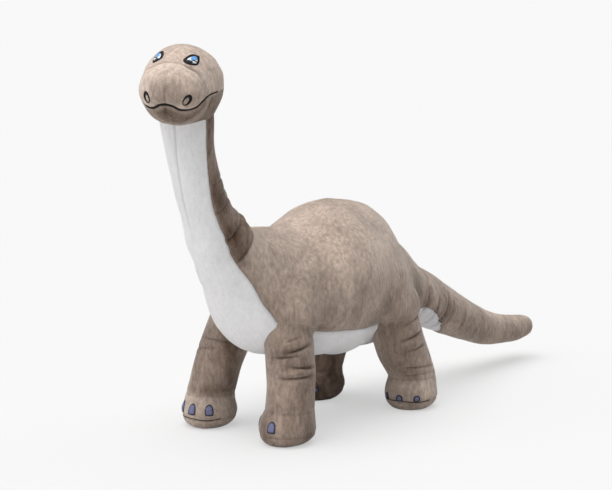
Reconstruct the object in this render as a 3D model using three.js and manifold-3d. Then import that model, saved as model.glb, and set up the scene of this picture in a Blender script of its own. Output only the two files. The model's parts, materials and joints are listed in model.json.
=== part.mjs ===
// Plush long-necked dinosaur standing on four legs: plush covers sewn in panels over loose stuffing
import * as THREE from "three";
import Module from "manifold-3d";

const wasm = await Module();
wasm.setup();

// Cloth, seams and free space, in millimetres
const CLOTH = 1.8;
const SEAM_GAP = 0.3;
const TURN_GAP = 0.9;
const STITCH_HEIGHT = 0.9;
const STITCH_WIDTH = 2.2;

// Torso: length from the root of the tail to the chest
const BODY_LENGTH = 231;
const BODY_WIDTH = 134;
const BODY_HEIGHT = 147;
const BELLY_CLEARANCE = 54;
const BODY_TAPER_SHARE = 0.08;
const BODY_RIDGE_SHARE = 0.35;
const CHEST_ROUND = 44;
const SIDE_SEAM_SHARE = 0.25;

// Neck, from the bend at its root, which lies at shares of the torso's length and height
const NECK_ROOT_AHEAD_SHARE = 0.99;
const NECK_ROOT_UP_SHARE = 0.79;
const NECK_RISE = 113;
const NECK_REACH = 49;
const NECK_ROOT_RADIUS = 28;
const NECK_RADIUS = 21;
const NECK_FLARE_SHARE = 1.3;
const COLLAR = 4.5;

// Head, from the bend of the neck
const HEAD_AHEAD = 51;
const HEAD_UP = 147;
const CRANIUM_RADIUS = 34;
const CRANIUM_DROP = 2.5;
const MUZZLE_LENGTH = 53;
const MUZZLE_WIDTH = 59;
const MUZZLE_HEIGHT = 53;
const MUZZLE_DROP = 5;
const MUZZLE_ROUND_SHARE = 0.58;
const MUZZLE_SEAM_SHARE = 0.53;
const MOUTH_DROP = 14;
const MOUTH_SLOPE = 8;
const MOUTH_DIP = 4;
const MOUTH_CORNER_SHARE = 1.3;
const MOUTH_HALF_ANGLE = 84;
const HEAD_YAW = 30;
const HEAD_ROLL = 3;
const HEAD_TURN_RIGHT = 40;
const HEAD_TURN_LEFT = 10;
const EYE_WIDTH = 14;
const EYE_HEIGHT = 15;
const EYE_OUT = 14;
const EYE_UP = 20;
const NOSTRIL_WIDTH = 7;
const NOSTRIL_HEIGHT = 9;
const NOSTRIL_OUT = 17;
const NOSTRIL_AHEAD_SHARE = 0.9;
const NOSTRIL_DROP = 8;

// Tail, from the bend at its root
const TAIL_ROOT_UP_SHARE = 0.327;
const TAIL_ROOT_RADIUS = 30;
const TAIL_TIP_RADIUS = 8;
const TAIL_LENGTH = 218;
const TAIL_DROP = 69;

// Legs, from the balls that they swing on, which lie at shares of the torso's sizes
const SHOULDER_AHEAD_SHARE = 0.815;
const HIP_AHEAD_SHARE = 0.195;
const HIP_OUT_SHARE = 0.284;
const HIP_UP_SHARE = 0.28;
const HIP_RADIUS = 27;
const HIP_HALF_WIDTH = 21;
const LEG_RADIUS = 22.8;
const ANKLE_RADIUS = 21.7;
const ANKLE_UP = 27;
const FOOT_RADIUS = 24.5;
const TOE_LENGTH = 3;
const INSTEP_SHARE = 0.6;
const SOLE_SHARE = 0.9;
const LEG_SWING = 15;
const SWEEP_WIDER_SHARE = 1.16;
const SWEEP_LONGER_SHARE = 1.08;
const CLAW_WIDTH = 7.5;
const CLAW_HEIGHT = 10;
const FRONT_CLAW_UP = 18;
const HIND_CLAW_UP = 13;
const THIGH_SHARE = 1.08;
const CLAW_SPREAD = 42;

// How each leg stands: foot ahead of the hip and outward of it, and toes turned outward by degrees
const FRONT = { ahead: SHOULDER_AHEAD_SHARE, thigh: 1, clawUp: FRONT_CLAW_UP };
const HIND = { ahead: HIP_AHEAD_SHARE, thigh: THIGH_SHARE, clawUp: HIND_CLAW_UP };
const STANCE = [
  { name: "front_left", ...FRONT, right: false, lean: 8, splay: 7, toe: -35 },
  { name: "front_right", ...FRONT, right: true, lean: 10, splay: 14, toe: 0 },
  { name: "hind_left", ...HIND, right: false, lean: -21, splay: 6, toe: 15 },
  { name: "hind_right", ...HIND, right: true, lean: 12, splay: 7, toe: 0 },
];

const DEG = Math.PI / 180;
const ROOM = 1000;
const AHEAD = new THREE.Vector3(1, 0, 0);
const LEFT = new THREE.Vector3(0, 1, 0);
const UP = new THREE.Vector3(0, 0, 1);

// Colours of the cloth and the thread
const BROWN = 0x8f7b6e;
const GREY = 0xc4c0bf;
const STUFFING = 0xf3f1ec;
const DARK_THREAD = 0x3a2a22;
const EYE_THREAD = 0x2f3f66;
const CLAW_THREAD = 0x8589a0;

// Solids from three.js geometry, and back
function solidOf(geometry) {
  const plain = geometry.index ? geometry.toNonIndexed() : geometry;
  const places = plain.getAttribute("position");
  const found = new Map();
  const corners = [];
  const triangles = [];
  for (let i = 0; i < places.count; i += 1) {
    const at = [places.getX(i), places.getY(i), places.getZ(i)];
    const key = at.map((value) => Math.round(value * 1e4)).join();
    if (!found.has(key)) {
      found.set(key, corners.length / 3);
      corners.push(...at);
    }
    triangles.push(found.get(key));
  }
  const faces = [];
  for (let i = 0; i < triangles.length; i += 3) {
    const [a, b, c] = triangles.slice(i, i + 3);
    if (a !== b && b !== c && c !== a) faces.push(a, b, c);
  }
  const made = new wasm.Manifold(new wasm.Mesh({
    numProp: 3,
    vertProperties: new Float32Array(corners),
    triVerts: new Uint32Array(faces),
  }));
  if (made.volume() > 0) return made;
  const turned = [];
  for (let i = 0; i < faces.length; i += 3) turned.push(faces[i], faces[i + 2], faces[i + 1]);
  return new wasm.Manifold(new wasm.Mesh({
    numProp: 3,
    vertProperties: new Float32Array(corners),
    triVerts: new Uint32Array(turned),
  }));
}

function geometryOf(solid) {
  const mesh = solid.getMesh();
  const geometry = new THREE.BufferGeometry();
  geometry.setAttribute("position", new THREE.BufferAttribute(mesh.vertProperties, mesh.numProp));
  geometry.setIndex(new THREE.BufferAttribute(mesh.triVerts, 1));
  return geometry;
}

const moved = (solid, matrix) => solidOf(geometryOf(solid).applyMatrix4(matrix));
const shifted = (solid, x, y, z) => moved(solid, new THREE.Matrix4().makeTranslation(x, y, z));
const mirrored = (solid) => moved(solid, new THREE.Matrix4().makeScale(1, -1, 1));
const joined = (solids) => solids.reduce((all, next) => all.add(next));

// The largest body of a solid, so that crumbs left by a cut are dropped
function largest(solid) {
  return solid.decompose().reduce((big, next) => (next.volume() > big.volume() ? next : big));
}

// A half space: everything on the side of the plane that its normal points to
function beyond(point, normal) {
  const block = new THREE.BoxGeometry(ROOM, ROOM, ROOM).translate(0, 0, ROOM / 2);
  const way = normal.clone().normalize();
  block.applyQuaternion(new THREE.Quaternion().setFromUnitVectors(UP, way));
  return solidOf(block.translate(point.x, point.y, point.z));
}

const leftHalf = beyond(LEFT.clone().multiplyScalar(SEAM_GAP / 2), LEFT);
const rightHalf = mirrored(leftHalf);

// A stuffed form: oval rings along part of a spine, each end either flat or rounded by a given length.
// Sizes are half-width and half-depth. Taper makes the ring wider above its middle than below, and
// ridge draws it in toward its top.
// A form shrunk to lie under the cloth runs on past its flat ends, so that the cover is open there.
function stuffed(shape) {
  const { spine, from = 0, to = 1, sizes, steps, sides } = shape;
  const { caps = 3, startRound = 0, endRound = 0, taper = 0, ridge = 0 } = shape;
  const girth = new THREE.SplineCurve(sizes.map(([width, depth]) => new THREE.Vector2(width, depth)));
  const frame = (share) => {
    const at = from + (to - from) * share;
    const along = spine.getTangent(at);
    const side = LEFT.clone().addScaledVector(along, -along.y).normalize();
    const over = along.clone().cross(side).normalize();
    return { centre: spine.getPoint(at), along, side, over };
  };
  const place = (share, angle, grow = 0, shrink = 1, push = 0) => {
    const { centre, along, side, over } = frame(share);
    const size = girth.getPoint(share);
    const rise = Math.sin(angle);
    const fullness = 1 + taper * rise - ridge * Math.max(0, rise) ** 2;
    const wide = (size.x + grow) * shrink * Math.cos(angle) * fullness;
    const deep = (size.y + grow) * shrink * rise;
    return centre.addScaledVector(along, push).addScaledVector(side, wide).addScaledVector(over, deep);
  };
  const solid = (grow = 0) => {
    const rings = [];
    const ring = (share, shrink, push) => rings.push(Array.from({ length: sides }, (_, i) =>
      place(share, (2 * Math.PI * i) / sides, grow, shrink, push)));
    const cap = (share, step, length) => {
      const lean = (step / caps) * (Math.PI / 2);
      ring(share, Math.cos(lean), length * Math.sin(lean));
    };
    const startPush = startRound ? -startRound - grow : grow;
    const endPush = endRound ? endRound + grow : -grow;
    for (let i = caps - 1; startRound && i > 0; i -= 1) cap(0, i, startPush);
    ring(0, 1, startRound ? 0 : startPush);
    for (let i = 1; i < steps; i += 1) ring(i / steps, 1, 0);
    ring(1, 1, endRound ? 0 : endPush);
    for (let i = 1; endRound && i < caps; i += 1) cap(1, i, endPush);
    return closed(rings, place(0, 0, grow, 0, startPush), place(1, 0, grow, 0, endPush));
  };
  return { solid, place };
}

// A closed solid from rings of points with a point at each end
function closed(rings, start, end) {
  const corners = [];
  const put = (...three) => three.forEach((at) => corners.push(at.x, at.y, at.z));
  const sides = rings[0].length;
  const last = rings.length - 1;
  for (let i = 0; i < sides; i += 1) {
    const next = (i + 1) % sides;
    put(start, rings[0][next], rings[0][i]);
    put(end, rings[last][i], rings[last][next]);
    for (let k = 0; k < last; k += 1) {
      put(rings[k][i], rings[k][next], rings[k + 1][next]);
      put(rings[k][i], rings[k + 1][next], rings[k + 1][i]);
    }
  }
  const geometry = new THREE.BufferGeometry();
  geometry.setAttribute("position", new THREE.BufferAttribute(new Float32Array(corners), 3));
  return solidOf(geometry);
}

const inSideView = (points) =>
  new THREE.CatmullRomCurve3(points.map(([x, z]) => new THREE.Vector3(x, 0, z)));
const ball = (centre, radius, sides) =>
  solidOf(new THREE.SphereGeometry(radius, sides, sides / 2).translate(centre.x, centre.y, centre.z));
const underCloth = -CLOTH - SEAM_GAP;

// Torso: from the collar round the tail it swells to a humped barrel and ends in a round chest.
// Rows give share of the length, rise of the middle, width and depth as shares of the torso's sizes.
const aboveBelly = (along, out, rise) => [
  BODY_LENGTH * along,
  BODY_WIDTH * out,
  BELLY_CLEARANCE + BODY_HEIGHT * rise,
];
const bodyAt = (along, rise) => [BODY_LENGTH * along, BELLY_CLEARANCE + BODY_HEIGHT * rise];
const BODY_ROWS = [
  [0.08, 0.325, 0.54, 0.55],
  [0.165, 0.365, 0.68, 0.72],
  [0.3, 0.4625, 0.88, 0.965],
  [0.46, 0.5, 1, 1],
  [0.64, 0.4475, 0.98, 0.845],
  [0.81, 0.445, 0.86, 0.69],
];
const rumpCollar = TAIL_ROOT_RADIUS + COLLAR;
const tailRoot = new THREE.Vector3(...aboveBelly(0, 0, TAIL_ROOT_UP_SHARE));
const body = stuffed({
  spine: inSideView([[0, tailRoot.z], ...BODY_ROWS.map(([share, rise]) => bodyAt(share, rise))]),
  sizes: [
    [rumpCollar, rumpCollar],
    ...BODY_ROWS.map(([, , width, depth]) => [(width * BODY_WIDTH) / 2, (depth * BODY_HEIGHT) / 2]),
  ],
  steps: 8,
  sides: 20,
  endRound: CHEST_ROUND,
  taper: BODY_TAPER_SHARE,
  ridge: BODY_RIDGE_SHARE,
});

// Neck: one spine from inside the chest to inside the head, with the bend at its root
const neckRoot = new THREE.Vector3(...aboveBelly(NECK_ROOT_AHEAD_SHARE, 0, NECK_ROOT_UP_SHARE));
const neckAt = (reach, rise) => [neckRoot.x + NECK_REACH * reach, neckRoot.z + NECK_RISE * rise];
const neckSpine = inSideView([
  neckAt(-0.72, -0.29),
  neckAt(-0.35, -0.13),
  neckAt(0, 0),
  neckAt(0.29, 0.16),
  neckAt(0.61, 0.4),
  neckAt(0.86, 0.73),
  neckAt(0.96, 1),
  neckAt(1.02, 1.2),
]);
const NECK_BEND_SHARE = 2 / 7;
const chestCollar = NECK_ROOT_RADIUS + COLLAR;
const stumpShares = [NECK_FLARE_SHARE, (NECK_FLARE_SHARE + 2) / 3, 1];
const neckStump = stuffed({
  spine: neckSpine,
  to: NECK_BEND_SHARE,
  sizes: stumpShares.map((share) => [share * chestCollar, share * chestCollar]),
  steps: 3,
  sides: 18,
});
const neckGirth = (share) => NECK_RADIUS + (NECK_ROOT_RADIUS - NECK_RADIUS) * share;
const neck = stuffed({
  spine: neckSpine,
  from: NECK_BEND_SHARE,
  sizes: [1, 0.5, 0.06, -0.07, 0.07, 0].map((share) => [neckGirth(share), neckGirth(share)]),
  steps: 7,
  sides: 16,
  startRound: NECK_ROOT_RADIUS,
});

// Tail: a taper that droops and levels out at its tip
const tailAt = (share, drop) => [tailRoot.x - TAIL_LENGTH * share, tailRoot.z - TAIL_DROP * drop];
const tailSpine = inSideView([
  tailAt(0, 0),
  tailAt(0.17, 0.2),
  tailAt(0.4, 0.54),
  tailAt(0.65, 0.87),
  tailAt(0.87, 1),
  tailAt(1, 0.98),
]);
const tail = stuffed({
  spine: tailSpine,
  sizes: [1, 0.84, 0.6, 0.36, 0.13, 0]
    .map((share) => TAIL_TIP_RADIUS + (TAIL_ROOT_RADIUS - TAIL_TIP_RADIUS) * share)
    .map((radius) => [radius, radius]),
  steps: 7,
  sides: 14,
  startRound: TAIL_ROOT_RADIUS,
  endRound: TAIL_TIP_RADIUS,
});

// A leg: a rounded root that swings in the torso, a tube, an ankle, and a foot with a flat sole
const legAnkleShare = 0.5;
const hipUp = aboveBelly(0, 0, HIP_UP_SHARE)[2];
const legs = STANCE.map((stance) => {
  const { lean, splay, toe, thigh } = stance;
  const root = new THREE.Vector3(0, 0, 0);
  const ankle = new THREE.Vector3(lean, splay, ANKLE_UP - hipUp);
  const knee = ankle.clone().multiplyScalar(0.5);
  const toeward = AHEAD.clone().applyAxisAngle(UP, toe * DEG).multiplyScalar(TOE_LENGTH);
  const instep = ankle.clone().setZ(ANKLE_UP / 2 - hipUp).addScaledVector(toeward, INSTEP_SHARE);
  const sole = ankle.clone().setZ(-hipUp).add(toeward);
  const underSole = sole.clone().addScaledVector(UP, -TOE_LENGTH);
  const form = stuffed({
    spine: new THREE.CatmullRomCurve3([root, knee, ankle, instep, underSole]),
    sizes: [
      [HIP_HALF_WIDTH, HIP_RADIUS],
      [LEG_RADIUS, LEG_RADIUS * thigh],
      [ANKLE_RADIUS, ANKLE_RADIUS],
      [FOOT_RADIUS, FOOT_RADIUS + TOE_LENGTH / 2],
      [FOOT_RADIUS * SOLE_SHARE, FOOT_RADIUS * SOLE_SHARE + TOE_LENGTH / 2],
    ],
    steps: 8,
    sides: 14,
    startRound: HIP_RADIUS,
  });
  const sweep = (radius, fall) => [
    radius * SWEEP_WIDER_SHARE,
    (radius / Math.cos(LEG_SWING * DEG) + fall * Math.tan(LEG_SWING * DEG)) * SWEEP_LONGER_SHARE,
  ];
  const room = stuffed({
    spine: new THREE.CatmullRomCurve3([root, knee, ankle]),
    sizes: [
      [HIP_HALF_WIDTH, HIP_RADIUS],
      sweep(LEG_RADIUS * thigh, -knee.z),
      sweep(ANKLE_RADIUS, -ankle.z),
    ],
    steps: 2,
    sides: 20,
    caps: 5,
    startRound: HIP_RADIUS,
  }).solid(TURN_GAP);
  const out = stance.right ? -HIP_OUT_SHARE : HIP_OUT_SHARE;
  return { ...stance, form, ankle, sole, room, hip: aboveBelly(stance.ahead, out, HIP_UP_SHARE) };
});

// Head: a round cranium and a broad muzzle blown together, as distances from a point inside both
const headCentre = new THREE.Vector3(neckRoot.x + HEAD_AHEAD, 0, neckRoot.z + HEAD_UP);
const headTurn = new THREE.Euler(-HEAD_ROLL * DEG, 0, HEAD_YAW * DEG, "ZYX");
const muzzleHalfLength = MUZZLE_LENGTH * MUZZLE_ROUND_SHARE;
const LOBES = [
  {
    centre: new THREE.Vector3(0, 0, -CRANIUM_DROP),
    half: new THREE.Vector3(1, 1, 1).multiplyScalar(CRANIUM_RADIUS),
  },
  {
    centre: new THREE.Vector3(MUZZLE_LENGTH - muzzleHalfLength, 0, -MUZZLE_DROP),
    half: new THREE.Vector3(muzzleHalfLength, MUZZLE_WIDTH / 2, MUZZLE_HEIGHT / 2),
  },
];
const headHeart = new THREE.Vector3(MUZZLE_LENGTH / 6, 0, -MUZZLE_DROP / 2);
const LOBE_BLEND = 20;

function headPlace(way, grow) {
  const sum = LOBES.reduce((total, { centre, half }) => {
    const size = half.clone().addScalar(grow);
    const from = headHeart.clone().sub(centre).divide(size);
    const toward = way.clone().divide(size);
    const cross = from.dot(toward);
    const square = toward.lengthSq();
    const reach = (-cross + Math.sqrt(cross * cross - square * (from.lengthSq() - 1))) / square;
    return total + reach ** LOBE_BLEND;
  }, 0);
  return headHeart.clone().addScaledVector(way, sum ** (1 / LOBE_BLEND));
}

function headSolid(grow = 0) {
  const sphere = new THREE.SphereGeometry(1, 20, 14).rotateX(Math.PI / 2);
  const places = sphere.getAttribute("position");
  const way = new THREE.Vector3();
  for (let i = 0; i < places.count; i += 1) {
    const at = headPlace(way.fromBufferAttribute(places, i).normalize(), grow);
    places.setXYZ(i, at.x, at.y, at.z);
  }
  return solidOf(sphere);
}

// The room that the head needs as it turns: its cranium, and its muzzle at both ends and between
function headRoom() {
  const [cranium, muzzle] = LOBES;
  const bulge = 2 * TURN_GAP + muzzle.half.x * (2 ** (1 / LOBE_BLEND) - 1);
  const turned = [-HEAD_TURN_RIGHT, (HEAD_TURN_LEFT - HEAD_TURN_RIGHT) / 2, HEAD_TURN_LEFT].map((turn) => {
    const lobe = new THREE.SphereGeometry(1, 20, 14).rotateX(Math.PI / 2);
    const half = muzzle.half.clone().addScalar(bulge);
    lobe.scale(half.x, half.y, half.z).translate(muzzle.centre.x, muzzle.centre.y, muzzle.centre.z);
    lobe.applyMatrix4(new THREE.Matrix4().makeRotationFromEuler(headTurn)).rotateZ(turn * DEG);
    return solidOf(lobe.translate(headCentre.x, headCentre.y, headCentre.z));
  });
  return joined([ball(headCentre.clone().add(cranium.centre), cranium.half.x + TURN_GAP, 24), ...turned]);
}

// The seam between brown sides and grey underside, drawn in the side view and cut straight through
const aheadOf = (at, forward) => [at[0] + forward, at[1]];
const SIDE_SEAM = [
  tailAt(0.4, 0.95),
  tailAt(0.28, 0.72),
  tailAt(0.14, 0.42),
  bodyAt(0, SIDE_SEAM_SHARE * 0.8),
  bodyAt(0.18, SIDE_SEAM_SHARE * 0.76),
  bodyAt(0.4, SIDE_SEAM_SHARE * 0.88),
  bodyAt(0.68, SIDE_SEAM_SHARE * 1.05),
  bodyAt(0.88, SIDE_SEAM_SHARE * 1.55),
  bodyAt(0.95, SIDE_SEAM_SHARE * 2.1),
  aheadOf(neckAt(0.07, -0.08), 0),
  aheadOf(neckAt(0.29, 0.16), NECK_RADIUS * 0.55),
  aheadOf(neckAt(0.61, 0.4), NECK_RADIUS * 0.35),
  aheadOf(neckAt(0.86, 0.73), NECK_RADIUS * 0.05),
  aheadOf(neckAt(1.02, 1.5), 0),
];
function below(gap) {
  const curve = new THREE.SplineCurve(SIDE_SEAM.map(([x, z]) => new THREE.Vector2(x, z)));
  const line = curve.getPoints(SIDE_SEAM.length * 3);
  const edge = line.map((at, i) => {
    const way = line[Math.min(i + 1, line.length - 1)].clone().sub(line[Math.max(i - 1, 0)]).normalize();
    return at.clone().addScaledVector(new THREE.Vector2(way.y, -way.x), gap);
  });
  const outline = new THREE.Shape([
    ...edge,
    new THREE.Vector2(ROOM, edge.at(-1).y),
    new THREE.Vector2(ROOM, -ROOM),
    new THREE.Vector2(edge[0].x, -ROOM),
  ]);
  const block = new THREE.ExtrudeGeometry(outline, { depth: ROOM, bevelEnabled: false });
  return solidOf(block.rotateX(Math.PI / 2).translate(0, ROOM / 2, 0));
}
const grey = below(SEAM_GAP / 2);
const notBrown = below(-SEAM_GAP / 2);

// Groups for the bodies that move, and a named piece in one of them
const root = new THREE.Group();
const toy = new THREE.Group();
root.add(toy);
function group(name) {
  const made = new THREE.Group();
  made.name = name;
  toy.add(made);
  return made;
}
function piece(name, parent, solid, colour, roughness = 0.95) {
  const material = new THREE.MeshStandardMaterial({ color: colour, roughness, metalness: 0 });
  const mesh = new THREE.Mesh(geometryOf(largest(solid)), material);
  mesh.name = name;
  parent.add(mesh);
}
const halves = [["left", leftHalf], ["right", rightHalf]];
const coverOf = (form) => form.solid().subtract(form.solid(-CLOTH));

// Torso: cups for the neck, the tail and the legs are cut from its covers and its stuffing
const torso = group("torso");
const neckWay = neckSpine.getTangent(NECK_BEND_SHARE);
const tailWay = tailSpine.getTangent(0);
const legRooms = legs.map(({ right, room, hip }) => shifted(right ? mirrored(room) : room, ...hip));
const torsoRooms = joined([
  ball(neckRoot, NECK_ROOT_RADIUS + TURN_GAP, 24),
  ball(tailRoot, TAIL_ROOT_RADIUS + TURN_GAP, 24),
  beyond(neckRoot, neckWay),
  beyond(tailRoot, tailWay),
  ...legRooms,
]);
const torsoSolid = (grow) => joined([body.solid(grow), neckStump.solid(grow)]);
const torsoCover = torsoSolid(0).subtract(torsoSolid(-CLOTH)).subtract(torsoRooms);
const torsoSides = torsoCover.subtract(notBrown);
for (const [side, half] of halves) piece("torso_side_" + side, torso, torsoSides.intersect(half), BROWN);
piece("belly_panel", torso, torsoCover.intersect(grey), GREY);
piece("torso_filling", torso, torsoSolid(underCloth).subtract(torsoRooms), STUFFING);

// Neck: covers above the bend, stuffing with a ball below it, and a hollow on top for the head
const neckGroup = group("neck");
const aboveBend = beyond(neckRoot, neckWay);
const roomForHead = headRoom();
const neckCover = coverOf(neck).intersect(aboveBend).subtract(roomForHead);
const neckSides = neckCover.subtract(notBrown);
const throat = neckCover.intersect(grey);
for (const [side, half] of halves) {
  piece("neck_side_" + side, neckGroup, neckSides.intersect(half), BROWN);
  piece("throat_" + side, neckGroup, throat.intersect(half), GREY);
}
piece("neck_filling", neckGroup, neck.solid(underCloth).subtract(roomForHead), STUFFING);

// Tail: covers behind the bend and stuffing with a ball ahead of it
const tailGroup = group("tail");
const tailCover = coverOf(tail).intersect(beyond(tailRoot, tailWay));
const tailSides = tailCover.subtract(notBrown);
for (const [side, half] of halves) piece("tail_side_" + side, tailGroup, tailSides.intersect(half), BROWN);
piece("tail_underside", tailGroup, tailCover.intersect(grey), GREY);
piece("tail_filling", tailGroup, tail.solid(underCloth), STUFFING);

// Head, made facing ahead in its own frame and then turned to its left
const headGroup = group("head");
headGroup.position.copy(headCentre);
headGroup.rotation.copy(headTurn);
const seamHalf = SEAM_GAP / 2;
const between = (point, normal) => [
  beyond(point.clone().addScaledVector(normal, seamHalf), normal),
  beyond(point.clone().addScaledVector(normal, -seamHalf), normal.clone().negate()),
];
const mouthMiddle = new THREE.Vector3(MUZZLE_LENGTH, 0, -MOUTH_DROP);
const mouthNormal = UP.clone().applyAxisAngle(LEFT, MOUTH_SLOPE * DEG);
const [aboveMouth, belowMouth] = between(mouthMiddle, mouthNormal);
const [inFront, behind] = between(new THREE.Vector3(MUZZLE_LENGTH * MUZZLE_SEAM_SHARE, 0, 0), AHEAD);
const headCover = headSolid().subtract(headSolid(-CLOTH));
const upperHead = headCover.intersect(aboveMouth);
for (const [side, half] of halves) {
  piece("crown_" + side, headGroup, upperHead.intersect(behind).intersect(half), BROWN);
  piece("muzzle_" + side, headGroup, upperHead.intersect(inFront).intersect(half), BROWN);
  piece("jaw_" + side, headGroup, headCover.intersect(belowMouth).intersect(half), BROWN);
}
piece("head_filling", headGroup, headSolid(underCloth), STUFFING);

// A surface patch on the head round a point: across and up in millimetres, and lift above the cloth
function onHead(centre) {
  const way = centre.clone().sub(headHeart);
  const across = UP.clone().cross(way).normalize();
  const upward = way.clone().cross(across).normalize();
  return (a, b, lift) =>
    headPlace(way.clone().addScaledVector(across, a).addScaledVector(upward, b).normalize(), lift);
}

// Satin stitch as a low oval pad on a surface, cut to lie just clear of the cloth under it
function pad(place, width, height, cloth) {
  const PAD_SIDES = 8;
  const ring = (share, lift) => Array.from({ length: PAD_SIDES }, (_, i) => {
    const angle = (2 * Math.PI * i) / PAD_SIDES;
    return place((share * width * Math.cos(angle)) / 2, (share * height * Math.sin(angle)) / 2, lift);
  });
  const top = SEAM_GAP + STITCH_HEIGHT;
  const rings = [ring(1, -STITCH_HEIGHT), ring(1, top / 2), ring(0.6, top)];
  return closed(rings, place(0, 0, -STITCH_HEIGHT), place(0, 0, top)).subtract(cloth);
}

// Satin stitch as a ribbon along a line on a surface, open or closed into a loop, cut like a pad
function ribbon(at, steps, loop, cloth) {
  const count = loop ? steps : steps + 1;
  const rings = Array.from({ length: count }, (_, i) => {
    const share = i / steps;
    const foot = at(share, -STITCH_HEIGHT);
    const lifted = at(share, SEAM_GAP + STITCH_HEIGHT).sub(foot);
    const along = at(share + 0.01, 0).sub(at(share - 0.01, 0));
    const half = along.cross(lifted).normalize().multiplyScalar(STITCH_WIDTH / 2);
    const low = [foot.clone().sub(half), foot.clone().add(half)];
    return [low[0], low[1], low[1].clone().add(lifted), low[0].clone().add(lifted)];
  });
  if (!loop) {
    const middle = (ring) => ring.reduce((sum, next) => sum.add(next), new THREE.Vector3()).divideScalar(4);
    return closed(rings, middle(rings[0]), middle(rings.at(-1))).subtract(cloth);
  }
  const corners = [];
  const put = (...three) => three.forEach((place) => corners.push(place.x, place.y, place.z));
  rings.forEach((ring, k) => {
    const after = rings[(k + 1) % count];
    ring.forEach((place, i) => {
      const next = (i + 1) % ring.length;
      put(place, ring[next], after[next]);
      put(place, after[next], after[i]);
    });
  });
  const geometry = new THREE.BufferGeometry();
  geometry.setAttribute("position", new THREE.BufferAttribute(new Float32Array(corners), 3));
  return solidOf(geometry).subtract(cloth);
}

// Embroidery of the face: eyes, nostril loops and the mouth line along the jaw seam
const headCloth = headSolid(SEAM_GAP);
const eyeAhead = Math.sqrt(CRANIUM_RADIUS ** 2 - EYE_OUT ** 2 - (EYE_UP + CRANIUM_DROP) ** 2);
for (const [side, sign] of [["left", 1], ["right", -1]]) {
  const eye = onHead(new THREE.Vector3(eyeAhead, sign * EYE_OUT, EYE_UP));
  piece("eye_" + side, headGroup, pad(eye, EYE_WIDTH, EYE_HEIGHT, headCloth), EYE_THREAD, 0.6);
  const nostrilAhead = MUZZLE_LENGTH * NOSTRIL_AHEAD_SHARE;
  const nostril = onHead(new THREE.Vector3(nostrilAhead, sign * NOSTRIL_OUT, -NOSTRIL_DROP));
  const loop = (share, lift) => {
    const angle = 2 * Math.PI * share;
    const across = (Math.cos(angle) * (NOSTRIL_WIDTH - STITCH_WIDTH)) / 2;
    const upward = (Math.sin(angle) * (NOSTRIL_HEIGHT - STITCH_WIDTH)) / 2;
    return nostril(across, upward, lift);
  };
  piece("nostril_" + side, headGroup, ribbon(loop, 10, true, headCloth), DARK_THREAD, 0.6);
}
const mouthLine = (share, lift) => {
  const angle = (2 * share - 1) * MOUTH_HALF_ANGLE * DEG;
  const way = new THREE.Vector3(Math.cos(angle), Math.sin(angle), 0).multiplyScalar(MUZZLE_LENGTH);
  const fall = way.x - (MUZZLE_LENGTH - headHeart.x);
  const outward = Math.min(1, Math.abs(2 * share - 1) * MOUTH_CORNER_SHARE);
  const dip = MOUTH_DIP * Math.sin(Math.PI * outward) ** 2;
  way.z = -MOUTH_DROP - headHeart.z - fall * Math.tan(MOUTH_SLOPE * DEG) - dip;
  return headPlace(way.normalize(), lift);
};
piece("mouth_line", headGroup, ribbon(mouthLine, 16, false, headCloth), DARK_THREAD, 0.6);

// Legs, feet and claws
for (const leg of legs) {
  const legGroup = group(leg.name + "_leg");
  legGroup.position.set(...leg.hip);
  const sided = (solid) => (leg.right ? mirrored(solid) : solid);
  const splayNormal = new THREE.Vector3(0, hipUp - ANKLE_UP, leg.splay).normalize();
  const [outside, inside] = between(new THREE.Vector3(), splayNormal);
  const [aboveAnkle, belowAnkle] = between(leg.ankle, UP);
  const aboveFloor = beyond(leg.sole, UP);
  const soleTop = leg.sole.clone().addScaledVector(UP, CLOTH);
  const aboveSole = beyond(soleTop.clone().addScaledVector(UP, SEAM_GAP), UP);
  const cover = coverOf(leg.form);
  const footCloth = leg.form.solid(SEAM_GAP);
  const shank = cover.intersect(aboveAnkle);
  piece(leg.name + "_leg_outer", legGroup, sided(shank.intersect(outside)), BROWN);
  piece(leg.name + "_leg_inner", legGroup, sided(shank.intersect(inside)), BROWN);
  piece(leg.name + "_foot", legGroup, sided(cover.intersect(belowAnkle).intersect(aboveSole)), BROWN);
  const sole = leg.form.solid().intersect(aboveFloor).subtract(beyond(soleTop, UP));
  piece(leg.name + "_sole", legGroup, sided(sole), BROWN);
  piece(leg.name + "_filling", legGroup, sided(leg.form.solid(underCloth).intersect(aboveSole)), STUFFING);
  const clawShare = legAnkleShare + (1 - legAnkleShare) * (1 - leg.clawUp / ANKLE_UP);
  [["inner", -1], ["middle", 0], ["outer", 1]].forEach(([toe, turn]) => {
    const middle = Math.PI / 2 - (leg.toe + turn * CLAW_SPREAD) * DEG;
    const onFoot = (a, b, lift) => {
      const share = clawShare - (b / ANKLE_UP) * (1 - legAnkleShare);
      return leg.form.place(share, middle - a / FOOT_RADIUS, lift);
    };
    const claw = pad(onFoot, CLAW_WIDTH, CLAW_HEIGHT, footCloth);
    piece(leg.name + "_claw_" + toe, legGroup, sided(claw), CLAW_THREAD, 0.6);
  });
}

// Stand the toy on the floor with the middle of its outline over the origin
root.updateMatrixWorld(true);
const box = new THREE.Box3().setFromObject(root, true);
toy.position.set(-(box.min.x + box.max.x) / 2, -(box.min.y + box.max.y) / 2, -box.min.z);

export default root;
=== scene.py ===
"""Plush long-necked dinosaur: sewn panels of short-pile plush over soft stuffing, on a pale floor."""

import json
import math
from collections import namedtuple

import bpy
import numpy as np
from bpy.props import FloatProperty, FloatVectorProperty, PointerProperty
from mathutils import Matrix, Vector, noise
from mathutils.bvhtree import BVHTree


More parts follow.
